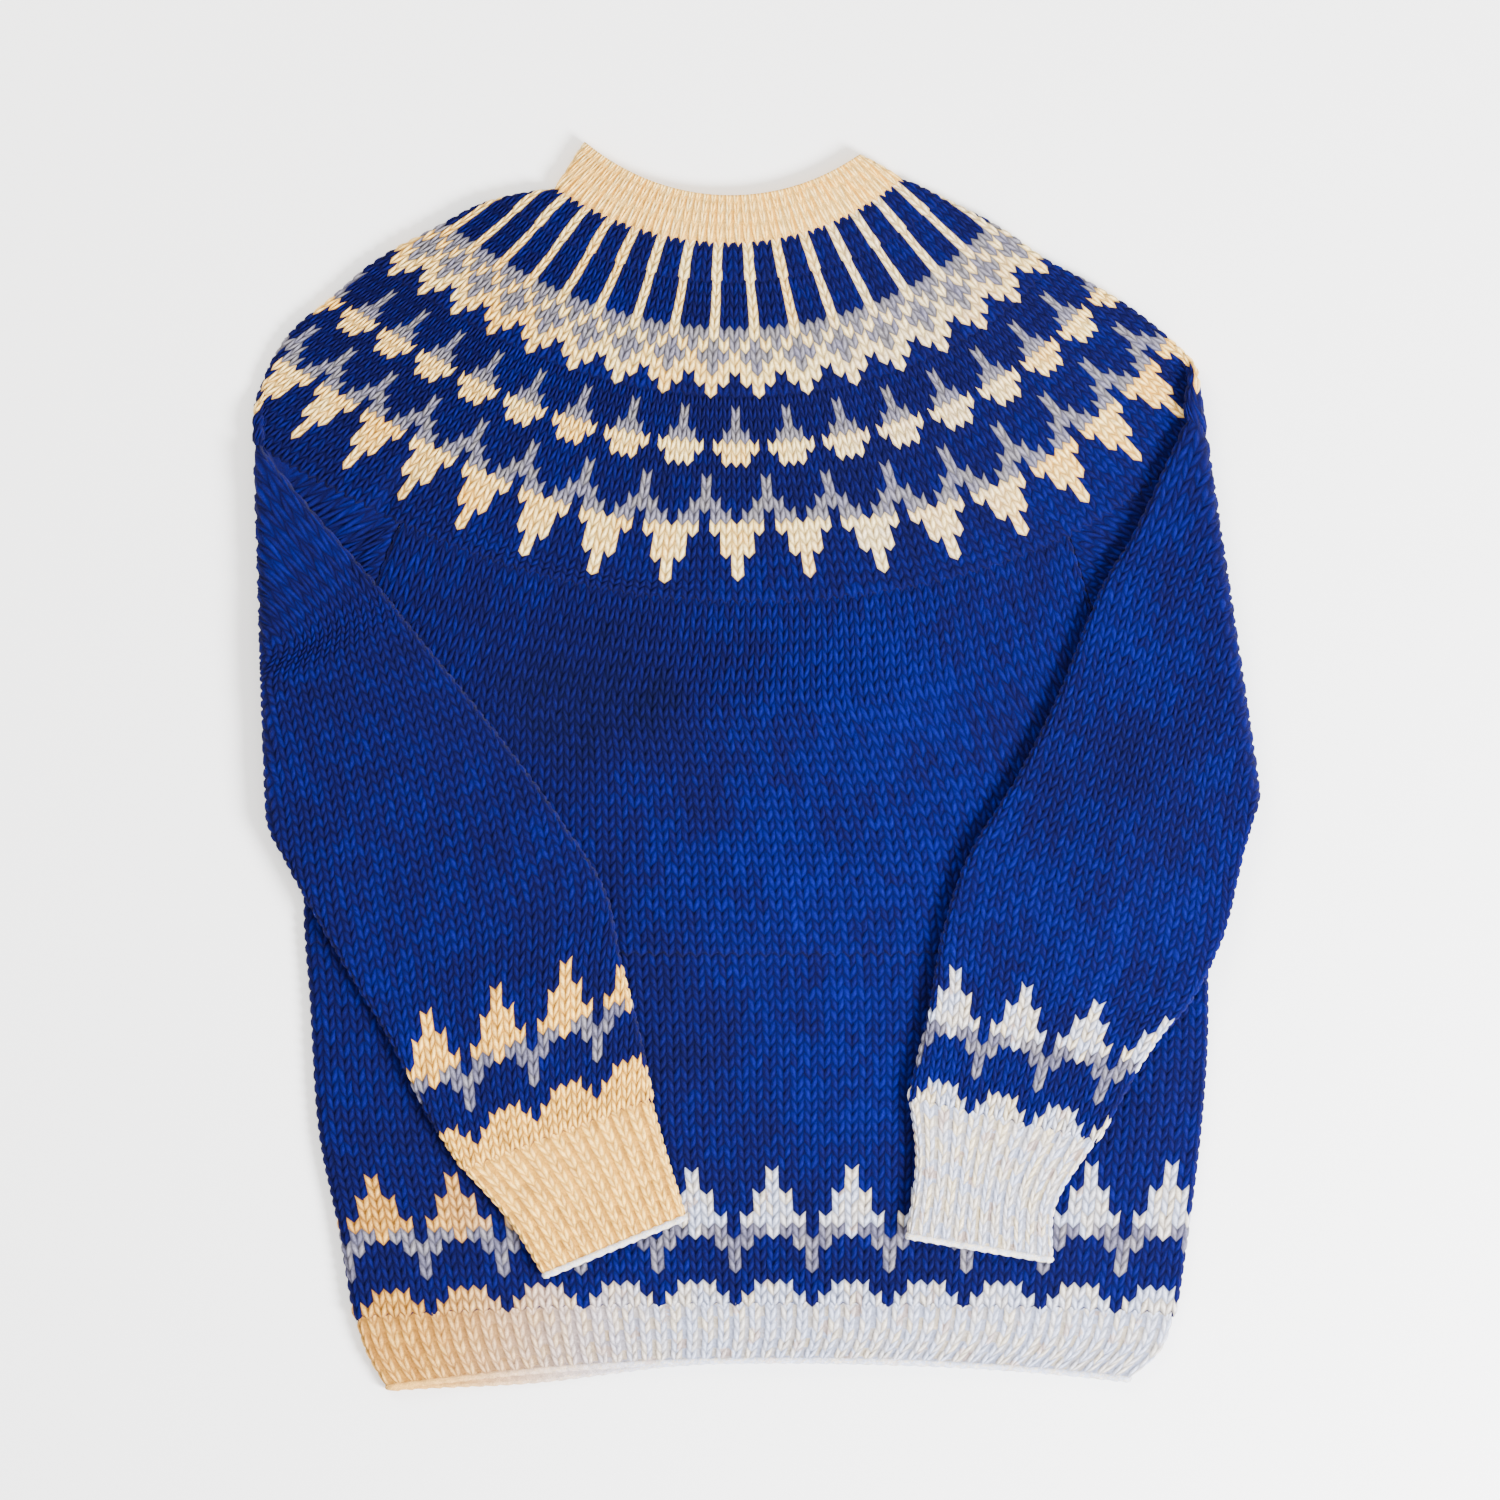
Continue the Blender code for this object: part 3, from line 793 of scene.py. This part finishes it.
def stitch_relief(columns, along, is_purl):
    """Height of the wool over the whole grid, 1 on top of a leg and 0 in the groove between two."""
    place, across, stitch, leg = columns
    shape = leg_relief(across[None, :], along[:, None], leg[None, :])
    hump_across = np.sin(math.pi * across[None, :]).clip(0) ** PURL_ROUNDNESS
    hump_along = np.sin(math.pi * along[:, None]).clip(0) ** PURL_ROUNDNESS
    purled = (leg == PURL_LEG)[None, :]
    shape = np.where(purled, PURL_SWELL * hump_across * hump_along - PURL_SINK, shape)
    if is_purl.any():
        shape = np.where(purled, shape, RIB_LIFT + (1 - RIB_LIFT) * shape)
        at_edge = (place == stitch) & (is_purl[stitch] != is_purl[(stitch - 1) % len(is_purl)])
        shape[:, at_edge] = RIB_EDGE
    return shape


def welded(index, where, low, high, count):
    """Which point stands for each, where rounds cut straight across leave points on top of each other."""
    stands = np.arange(count)
    rows = len(index)
    below = where < low
    above = where > high
    for row in range(rows - 2, -1, -1):
        same = below[row] & (where[row + 1] <= low)
        stands[index[row][same]] = stands[index[row + 1][same]]
    for row in range(1, rows):
        same = above[row] & (where[row - 1] >= high)
        stands[index[row][same]] = stands[index[row - 1][same]]
    return stands


def leg_faces(index, leg):
    """Two triangles a cell, split along the leg that the cell belongs to."""
    a, b, c, d = grid_corners(index)
    right_leg = ((leg == 1)[None, :] & np.ones_like(a, bool))[..., None]
    first = np.where(right_leg, np.stack([a, b, c], -1), np.stack([a, b, d], -1))
    second = np.where(right_leg, np.stack([a, c, d], -1), np.stack([b, c, d], -1))
    return np.stack([first, second], axis=2).reshape(-1, 3)


def hidden_faces(outside, inside):
    """The smooth inside, and the rims that join it to the outside at both ends."""
    a, b, c, d = grid_corners(inside)
    faces = [triangles_of(a, c, b), triangles_of(a, d, c)]
    for end, is_top in ((0, False), (-1, True)):
        p, s = outside[end], inside[end]
        q, r = np.roll(p, -1), np.roll(s, -1)
        rim = np.concatenate([triangles_of(p, r, q), triangles_of(p, s, r)])
        faces.append(rim[:, ::-1] if is_top else rim)
    return np.concatenate(faces)


def has_area(faces):
    a, b, c = faces.T
    return (a != b) & (b != c) & (a != c)


def make_mesh(name, points, faces, smooth, dye, level, uv):
    mesh = bpy.data.meshes.new(name)
    mesh.vertices.add(len(points))
    centred = (points - (CENTRE_X, CENTRE_Y, 0.0)) * MM
    mesh.vertices.foreach_set("co", centred.astype(np.float32).ravel())
    mesh.loops.add(len(faces) * 3)
    mesh.loops.foreach_set("vertex_index", faces.astype(np.int32).ravel())
    mesh.polygons.add(len(faces))
    mesh.polygons.foreach_set("loop_start", np.arange(0, len(faces) * 3, 3, dtype=np.int32))
    mesh.update(calc_edges=True)
    mesh.polygons.foreach_set("use_smooth", smooth)
    colour = mesh.attributes.new("dye", "FLOAT_COLOR", "CORNER")
    rgba = np.ones((len(faces), 3, 4), np.float32)
    rgba[..., :3] = dye[:, None, :]
    colour.data.foreach_set("color", rgba.ravel())
    # the relief, from which the wool paints shade into its grooves
    relief = mesh.attributes.new("relief", "FLOAT", "POINT")
    relief.data.foreach_set("value", level.astype(np.float32))
    layout = mesh.uv_layers.new(name="OFBake")
    layout.data.foreach_set("uv", uv.astype(np.float32).ravel())
    mesh.validate()
    return mesh


def knit(
    name, tube, chart, low, high, turn_of, palette, stitches, purls=None, fine=None,
    inside_rows=12, ends=(END_LEVEL, END_LEVEL), relief=RELIEF, ragged=False,
    tuck=END_FADE, tuck_from=None, cast_on=None,
):
    """Builds one closed piece of knitting and gives back its object.

    chart has one string for each round from the top down, repeated round the tube. turn_of(place, round)
    says where on the ring a wale lies. purls marks the purled stitches, which sink between the ribs.
    A ragged piece ends below along its stitches, and the piece under it is tucked over its last rounds.
    cast_on gives the colours of a rolled edge at the lower end.
    """
    is_purl = np.zeros(stitches, bool) if purls is None else purls
    is_fine = np.ones(stitches, bool) if fine is None else fine

    def legs_of(number):
        return 1 if is_purl[number] else 2

    def cuts_of(number):
        if is_purl[number]:
            return 1
        return FINE if is_fine[number] else COARSE

    # The grid, a row for each cut along the rounds and a column for each cut across the stitches
    columns = columns_of(stitches, legs_of, cuts_of)
    place, across, stitch, leg = columns
    total = len(place)
    peak = np.where(leg == PURL_LEG, 1.0, np.abs(2 * (place - stitch) - 1)) * V_HEIGHT
    first = low if ragged else int(math.floor(low - V_HEIGHT))
    last = int(math.ceil(high))
    steps = np.arange(first * FINE, last * FINE + 1)
    row_of = steps / FINE
    where = row_of[:, None] + peak[None, :]
    on_tube = np.clip(where, low, high)
    seen_level = stitch_relief(columns, (steps % FINE) / FINE, is_purl)
    shape = seen_level
    if tuck_from is not None:
        shape = np.where(row_of[:, None] > tuck_from, ends[1], shape)
    if not ragged:
        shape = lerp(ends[0], shape, smoothstep(0.0, END_FADE, on_tube - low))
    shape = lerp(ends[1], shape, smoothstep(0.0, tuck, high - on_tube))

    # The outside and the inside
    wobble = RANDOM.normal(0.0, WOBBLE, (last - first + 1, stitches))
    turn = turn_of(place[None, :] + wobble[steps // FINE - first][:, stitch] * WOBBLE_SHARE, on_tube)
    outer = tube.place(turn, on_tube, relief * (shape - 1))
    up_lining = np.linspace(0.0, 1.0, inside_rows)[:, None]
    lining = lerp(np.full((1, total), low), np.full((1, total), high), up_lining)
    lining_turn = turn_of(place[None, :] + 0 * lining, lining)
    inner = tube.place(lining_turn, lining, np.full(lining.shape, INNER_BEND - OUTER_BEND))
    points = np.concatenate([outer.reshape(-1, 3), inner.reshape(-1, 3)])
    level = np.concatenate([seen_level.reshape(-1), np.full(inside_rows * total, LINING_LEVEL)])

    # The faces
    outer_rows = len(steps)
    outer_count = outer_rows * total
    index = np.arange(outer_count).reshape(outer_rows, total)
    inner_index = outer_count + np.arange(inside_rows * total).reshape(inside_rows, total)
    stands = welded(index, where, low, high, len(points))
    legs = stands[leg_faces(index, leg)]
    hidden = stands[hidden_faces(index, inner_index)]
    whole = has_area(legs)
    legs, hidden = legs[whole], hidden[has_area(hidden)]
    used, faces = np.unique(np.concatenate([legs, hidden]), return_inverse=True)
    faces = faces.reshape(-1, 3)
    points = waves(points[used])
    level = level[used]

    # Colour, a leg at a time
    cells = (outer_rows - 1, total)
    cell_stitch = np.repeat(np.broadcast_to(stitch[None, :], cells).reshape(-1), 2)[whole]
    cell_round = np.repeat(np.broadcast_to((steps[:-1] // FINE)[:, None], cells).reshape(-1), 2)[whole]
    cell_leg = np.repeat(np.broadcast_to(leg[None, :], cells).reshape(-1), 2)[whole]
    chart_row = int(math.floor(high)) - 1 - cell_round
    symbols = np.array([list(line) for line in chart])
    plain = symbols[0, 0]
    symbol = symbols[np.clip(chart_row, 0, len(chart) - 1), cell_stitch % symbols.shape[1]]
    symbol = np.where(chart_row < 0, plain, symbol)
    tones = RANDOM.uniform(-1, 1, (last - first + 2, stitches, 3))
    tone = tones[cell_round - first, cell_stitch, cell_leg]
    centres = points[faces].mean(axis=1)
    dye = np.zeros((len(faces), 3))
    dye[len(legs):] = palette[plain](centres[len(legs):], np.zeros(len(hidden)))
    for mark, colours in palette.items():
        chosen = np.flatnonzero(symbol == mark)
        if len(chosen):
            dye[chosen] = colours(centres[chosen], tone[chosen])

    # The layout: the outside as a rectangle, and the inside as a narrow band above it
    faces = outward(points, faces)
    source = used[faces]
    is_outer = source < outer_count
    up_outside = (source // total) / (outer_rows - 1) * LAYOUT_OUTSIDE
    up_inside = LAYOUT_INSIDE + ((source - outer_count) // total) / (inside_rows - 1) * LAYOUT_INSIDE_TALL
    in_rim = is_outer.any(axis=1) & ~is_outer.all(axis=1)
    up = np.where(is_outer, up_outside, up_inside)
    up = np.where(in_rim[:, None] & is_outer, LAYOUT_RIM, up)
    uv = np.stack([past_the_join(source % total / total), up], axis=-1)

    smooth = np.arange(len(faces)) < len(legs)
    if cast_on is not None:
        ring_place = np.arange(0, stitches, 1 / CORD_CUTS)
        ring_round = np.full(ring_place.shape, float(low))
        ring_lift = np.full(ring_place.shape, (INNER_BEND - OUTER_BEND) / 2)
        ring = waves(tube.place(turn_of(ring_place, ring_round), ring_round, ring_lift))
        edge, edge_faces, edge_dye, edge_uv = cast_on_edge(ring, cast_on)
        faces = np.concatenate([faces, edge_faces + len(points)])
        points = np.concatenate([points, edge])
        dye = np.concatenate([dye, edge_dye])
        uv = np.concatenate([uv, edge_uv])
        smooth = np.concatenate([smooth, np.ones(len(edge_faces), bool)])
        level = np.concatenate([level, np.full(len(edge), CORD_LEVEL)])

    piece = bpy.data.objects.new(name, make_mesh(name, points, faces, smooth, dye, level, uv))
    bpy.context.scene.collection.objects.link(piece)
    piece.data.materials.append(WOOL)
    return piece


# ---------------------------------------------------------------- wool


def make_wool():
    material = bpy.data.materials.new("wool")
    material.use_nodes = True
    nodes, links = material.node_tree.nodes, material.node_tree.links
    shader = nodes["Principled BSDF"]
    dye = nodes.new("ShaderNodeAttribute")
    dye.attribute_name = "dye"
    relief = nodes.new("ShaderNodeAttribute")
    relief.attribute_name = "relief"
    place = nodes.new("ShaderNodeTexCoord")
    fibre = nodes.new("ShaderNodeTexNoise")
    fibre.inputs["Scale"].default_value = 900.0
    fibre.inputs["Detail"].default_value = 4.0
    fibre.inputs["Roughness"].default_value = 0.7
    fibre.inputs["Distortion"].default_value = 1.5
    links.new(place.outputs["Object"], fibre.inputs["Vector"])
    fleck = nodes.new("ShaderNodeTexNoise")
    fleck.inputs["Scale"].default_value = 260.0
    fleck.inputs["Detail"].default_value = 3.0
    links.new(place.outputs["Object"], fleck.inputs["Vector"])

    # Painted shade: deep in the grooves between the legs the colour is darkened, where shade falls
    groove = nodes.new("ShaderNodeMapRange")
    groove.inputs["From Min"].default_value = -0.3
    groove.inputs["From Max"].default_value = 0.75
    groove.inputs["To Min"].default_value = 0.22
    groove.inputs["To Max"].default_value = 1.0
    links.new(relief.outputs["Fac"], groove.inputs["Value"])
    streak = nodes.new("ShaderNodeMapRange")
    streak.inputs["From Min"].default_value = 0.3
    streak.inputs["From Max"].default_value = 0.7
    streak.inputs["To Min"].default_value = 0.6
    streak.inputs["To Max"].default_value = 1.4
    links.new(fibre.outputs["Fac"], streak.inputs["Value"])
    mottle = nodes.new("ShaderNodeMapRange")
    mottle.inputs["From Min"].default_value = 0.3
    mottle.inputs["From Max"].default_value = 0.7
    mottle.inputs["To Min"].default_value = 0.82
    mottle.inputs["To Max"].default_value = 1.18
    links.new(fleck.outputs["Fac"], mottle.inputs["Value"])
    first = nodes.new("ShaderNodeMath")
    first.operation = "MULTIPLY"
    links.new(groove.outputs["Result"], first.inputs[0])
    links.new(streak.outputs["Result"], first.inputs[1])
    second = nodes.new("ShaderNodeMath")
    second.operation = "MULTIPLY"
    links.new(first.outputs["Value"], second.inputs[0])
    links.new(mottle.outputs["Result"], second.inputs[1])
    shade = nodes.new("ShaderNodeVectorMath")
    shade.operation = "SCALE"
    # and its colour painted deeper and stronger there, also painted shade
    groove_shade_deepening = nodes.new("ShaderNodeMapRange")
    groove_shade_deepening.inputs["From Min"].default_value = -0.3
    groove_shade_deepening.inputs["From Max"].default_value = 0.7
    groove_shade_deepening.inputs["To Min"].default_value = 0.8
    groove_shade_deepening.inputs["To Max"].default_value = 0.0
    links.new(relief.outputs["Fac"], groove_shade_deepening.inputs["Value"])
    groove_shaded_dye = nodes.new("ShaderNodeGamma")
    links.new(dye.outputs["Color"], groove_shaded_dye.inputs["Color"])
    lightness = nodes.new("ShaderNodeSeparateColor")
    links.new(dye.outputs["Color"], lightness.inputs["Color"])
    only_light = nodes.new("ShaderNodeMath")
    only_light.operation = "MULTIPLY_ADD"
    links.new(groove_shade_deepening.outputs["Result"], only_light.inputs[0])
    links.new(lightness.outputs["Red"], only_light.inputs[1])
    only_light.inputs[2].default_value = 1.0
    links.new(only_light.outputs["Value"], groove_shaded_dye.inputs["Gamma"])
    links.new(groove_shaded_dye.outputs["Color"], shade.inputs[0])
    links.new(second.outputs["Value"], shade.inputs["Scale"])
    links.new(shade.outputs["Vector"], shader.inputs["Base Color"])

    bump = nodes.new("ShaderNodeBump")
    bump.inputs["Strength"].default_value = 0.9
    bump.inputs["Distance"].default_value = 0.0006
    links.new(fibre.outputs["Fac"], bump.inputs["Height"])
    links.new(bump.outputs["Normal"], shader.inputs["Normal"])
    shader.inputs["Roughness"].default_value = 0.95
    shader.inputs["Specular IOR Level"].default_value = 0.04
    shader.inputs["Sheen Weight"].default_value = 0.03
    shader.inputs["Sheen Roughness"].default_value = 0.5
    return material


WOOL = make_wool()


# ---------------------------------------------------------------- pieces


def front_is_fine(stitches, first=0.0, last=0.5):
    share = (np.arange(stitches) + 0.5) / stitches
    return (share >= first) & (share <= last)


def make_body():
    lines = [body_line(*row[1:]) for row in BODY]
    top = yoke_edge(np.linspace(UNDERARM_LEFT, UNDERARM_RIGHT, LINE_STEPS + 1), SEAM_GAP)
    rounds = [row[0] for row in BODY]
    middle = (rounds[-1] + BODY_ROUNDS) / 2
    lines += [lerp(lines[-1], top, 0.5), top]
    tube = Tube(rounds + [middle, BODY_ROUNDS], [evened(line) for line in lines])

    def turn_of(place, where):
        return (place + BODY_PHASE) / BODY_STITCHES

    palette = {".": blues, "C": hem_creams, "G": hem_greys}
    fine = front_is_fine(BODY_STITCHES)
    plain = PLAIN * (BODY_ROUNDS - len(EDGE_MOTIF))
    chart = plain + EDGE_MOTIF + ("CCCCCC",)
    upper = knit(
        "body_upper", tube, PLAIN, BODY_SPLIT, BODY_ROUNDS, turn_of, palette, BODY_STITCHES,
        fine=fine, ends=TUCKED, ragged=True, tuck=TUCK,
    )
    lower_chart = chart[BODY_ROUNDS - BODY_SPLIT:]
    lower = knit(
        "body_lower", tube, lower_chart, 0, BODY_SPLIT + V_HEIGHT, turn_of, palette, BODY_STITCHES,
        fine=fine, ends=TUCKED, ragged=True, tuck_from=BODY_SPLIT,
    )
    return lower, upper


def make_hem():
    scale = HEM_ROUNDS / HEM_RIB[-1][0]

    def drop(share, where):
        strength = np.interp(where / scale, [row[0] for row in HEM_RIB], HEM_DROP_FADES)
        return HEM_DROP * strength * np.exp(-(((share - HEM_DROP_AT) / HEM_DROP_SPREAD) ** 2))

    lines = [evened(body_line(*row[1:])) for row in HEM_RIB]
    lines[-1] = lines[-1] - (0.0, SEAM_GAP)
    tube = Tube([row[0] * scale for row in HEM_RIB], lines, drop=drop)
    stitches = HEM_RIBS * 2

    def turn_of(place, where):
        return rib_place(place) / HEM_RIBS

    purls = np.arange(stitches) % 2 == 1
    fine = front_is_fine(stitches)
    return knit(
        "hem_rib_knit", tube, RIB, 0, HEM_ROUNDS, turn_of, {"C": hem_creams}, stitches, purls,
        fine=fine, ends=TUCKED, tuck=TUCK, cast_on=hem_creams,
    )


def yoke_line(share, left, right):
    angle = np.linspace(left, -right, LINE_STEPS + 1)
    return polar(angle, yoke_radius(angle, share))


def make_yoke():
    top = YOKE_ROUNDS - 2
    rounds = [top - share * YOKE_ROUNDS for share, left, right in YOKE]
    lines = [yoke_line(*row) for row in YOKE]
    angles = [(left, -right) for share, left, right in YOKE]
    tube = Yoke(rounds, lines, angles, (LEFT_FOLD, RIGHT_FOLD), YOKE_LIES)
    palette = {".": blues, "C": yoke_creams, "G": yoke_greys}
    pieces = []
    bands = (
        # name, chart, low, high, stitches in a repeat, centre of the motif, offset in rays
        ("yoke_lower", YOKE_LOWER, -2, 16, 6, 2.5, 0.0),
        ("yoke_lattice", YOKE_LATTICE, 16, 26, 4, 1.5, 0.5),
        ("yoke_rays", YOKE_RAYS, 26, 30, 3, 1.5, 0.5),
    )
    for name, chart, low, high, repeat, centre, offset in bands:
        stitches = repeat * YOKE_REPEATS

        def turn_of(place, where, repeat=repeat, centre=centre, offset=offset):
            return (place - centre) / repeat + offset - 9

        fine = front_is_fine(stitches, 0.0, 0.6)
        under = high if high == top else high + TUCK
        pieces.append(knit(
            name, tube, chart, low, under, turn_of, palette, stitches,
            fine=fine, ends=TUCKED, ragged=True, tuck=TUCK,
        ))
    return pieces


def make_neckband():
    lines = []
    angles = []
    for i, (radius, grows_left, grows_right, left, right) in enumerate(NECKBAND):
        angle = np.linspace(left, -right, LINE_STEPS + 1)
        gap = -NECK_OVERLAP * SEAM_GAP if i == 0 else 0.0
        lines.append(polar(angle, widened(radius, angle, grows_left, grows_right) + gap))
        angles.append((left, -right))
    rounds = np.linspace(0, NECK_ROUNDS, len(NECKBAND))
    tube = Yoke(rounds, lines, angles, ())
    stitches = 2 * NECK_RIBS

    def turn_of(place, where):
        return rib_place(place) / 3 - KNIT_SHARE / 6 + 0.5 - 9

    purls = np.arange(stitches) % 2 == 1
    return knit(
        "neckband_knit", tube, RIB, 0, NECK_ROUNDS, turn_of, {"C": neck_creams}, stitches, purls,
        relief=NECK_RELIEF, ragged=True,
    )


def make_sleeve(name, fold, table, top, drift, phase, cream_rounds):
    lines = [evened(sleeve_line(fold, row[1:3], row[3:5], row[5])) for row in table]
    top = evened(top)
    lines = [top, lerp(top, lines[0], 0.5)] + lines
    downward = [0.0, table[0][0] / 2] + [row[0] for row in table]
    tube = Tube([SLEEVE_ROUNDS - down for down in downward], lines, (fold,))

    def turn_of(place, where):
        return (place + phase + drift * where) / SLEEVE_STITCHES

    above_cuff = ("CCCCCC",) * cream_rounds
    chart = PLAIN * (SLEEVE_ROUNDS - len(EDGE_MOTIF) - cream_rounds) + EDGE_MOTIF + above_cuff + ("CCCCCC",)
    creams = left_cuff_creams if fold is LEFT_FOLD else right_cuff_creams
    palette = {".": blues, "C": creams, "G": hem_greys}
    return knit(
        name, tube, chart, 0, SLEEVE_ROUNDS, turn_of, palette, SLEEVE_STITCHES,
        inside_rows=24, ends=TUCKED, ragged=True, tuck=TUCK,
    )


def make_cuff(name, fold, table, creams):
    lines = [evened(sleeve_line(fold, row[1:3], row[3:5], row[5])) for row in table]
    down = unit(lines[1].mean(axis=0) - lines[0].mean(axis=0))
    lines[0] = lines[0] + down * SEAM_GAP
    scale = CUFF_ROUNDS / table[-1][0]
    tube = Tube([CUFF_ROUNDS - row[0] * scale for row in table], lines, (fold,))
    stitches = CUFF_RIBS * 2

    def turn_of(place, where):
        return rib_place(place) / CUFF_RIBS

    purls = np.arange(stitches) % 2 == 1
    return knit(
        name, tube, RIB, 0, CUFF_ROUNDS, turn_of, {"C": creams}, stitches, purls,
        ends=TUCKED, tuck=TUCK, cast_on=cool_edge,
    )


def settle(piece, node):
    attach(piece, "root")
    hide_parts(node)


def build():
    lower, upper = make_body()
    settle(lower, "body")
    settle(upper, "body")
    hem = make_hem()
    settle(hem, "hem_rib")
    yoke_flat = ((1.041, 0.123), (0.697, 0.067), (0.480, 0.029))
    for piece, flat in zip(make_yoke(), yoke_flat):
        settle(piece, "yoke")
    settle(make_neckband(), "neckband")
    left_top = sleeve_top_line(YOKE[-1][1], UNDERARM_LEFT, ARMPIT_LEFT, -1)
    right_top = sleeve_top_line(-YOKE[-1][2], UNDERARM_RIGHT, ARMPIT_RIGHT, 1)
    left = make_sleeve("sleeve_left_knit", LEFT_FOLD, SLEEVE_LEFT, left_top, 0.33, 0.0, 2)
    settle(left, "sleeve_left")
    right = make_sleeve("sleeve_right_knit", RIGHT_FOLD, SLEEVE_RIGHT, right_top, 0.15, -0.4, 0)
    settle(right, "sleeve_right")
    cuff = make_cuff("cuff_left_knit", LEFT_FOLD, CUFF_LEFT, left_cuff_creams)
    settle(cuff, "cuff_left")
    cuff = make_cuff("cuff_right_knit", RIGHT_FOLD, CUFF_RIGHT, right_cuff_creams)
    settle(cuff, "cuff_right")


build()


# ---------------------------------------------------------------- floor, light and camera


def make_floor():
    bpy.ops.object.select_all(action="DESELECT")
    bpy.ops.mesh.primitive_plane_add(size=1.0, location=(0.0, 0.0, -0.0004))
    floor = bpy.context.object
    floor.name = "floor"
    floor.scale = (12.0, 12.0, 1.0)
    material = bpy.data.materials.new("pale_floor")
    material.use_nodes = True
    shader = material.node_tree.nodes["Principled BSDF"]
    shader.inputs["Base Color"].default_value = (0.92, 0.92, 0.92, 1.0)
    shader.inputs["Roughness"].default_value = 0.9
    floor.data.materials.append(material)


def area_light(name, position, target, size, power, colour):
    light = bpy.data.lights.new(name, "AREA")
    light.shape = "DISK"
    light.size = size
    light.energy = power
    light.color = colour
    holder = bpy.data.objects.new(name, light)
    bpy.context.scene.collection.objects.link(holder)
    holder.location = position
    aim = np.asarray(target, float) - np.asarray(position, float)
    holder.rotation_mode = "QUATERNION"
    holder.rotation_quaternion = Vector(aim).to_track_quat("-Z", "Y")


def make_light():
    world = bpy.data.worlds.new("studio")
    world.use_nodes = True
    background = world.node_tree.nodes["Background"]
    background.inputs["Color"].default_value = (1.0, 1.0, 1.0, 1.0)
    background.inputs["Strength"].default_value = 1.75
    bpy.context.scene.world = world
    area_light("key", (1.35, -0.9, 1.3), (0.0, 0.0, 0.0), 0.8, 205.0, (0.97, 0.98, 1.0))
    area_light("warm", (-0.9, 1.3, 1.6), (0.0, 0.1, 0.0), 1.2, 50.0, (1.0, 0.93, 0.84))


CAMERA_HEIGHT = 2.3
VIEW_WIDTH = 0.825


def make_camera():
    camera = bpy.data.cameras.new("camera")
    camera.sensor_width = 36.0
    camera.lens = 36.0 * (CAMERA_HEIGHT - 0.008) / VIEW_WIDTH
    holder = bpy.data.objects.new("camera", camera)
    bpy.context.scene.collection.objects.link(holder)
    holder.location = (-0.0032, 0.0083, CAMERA_HEIGHT)
    bpy.context.scene.camera = holder


make_floor()
make_light()
make_camera()
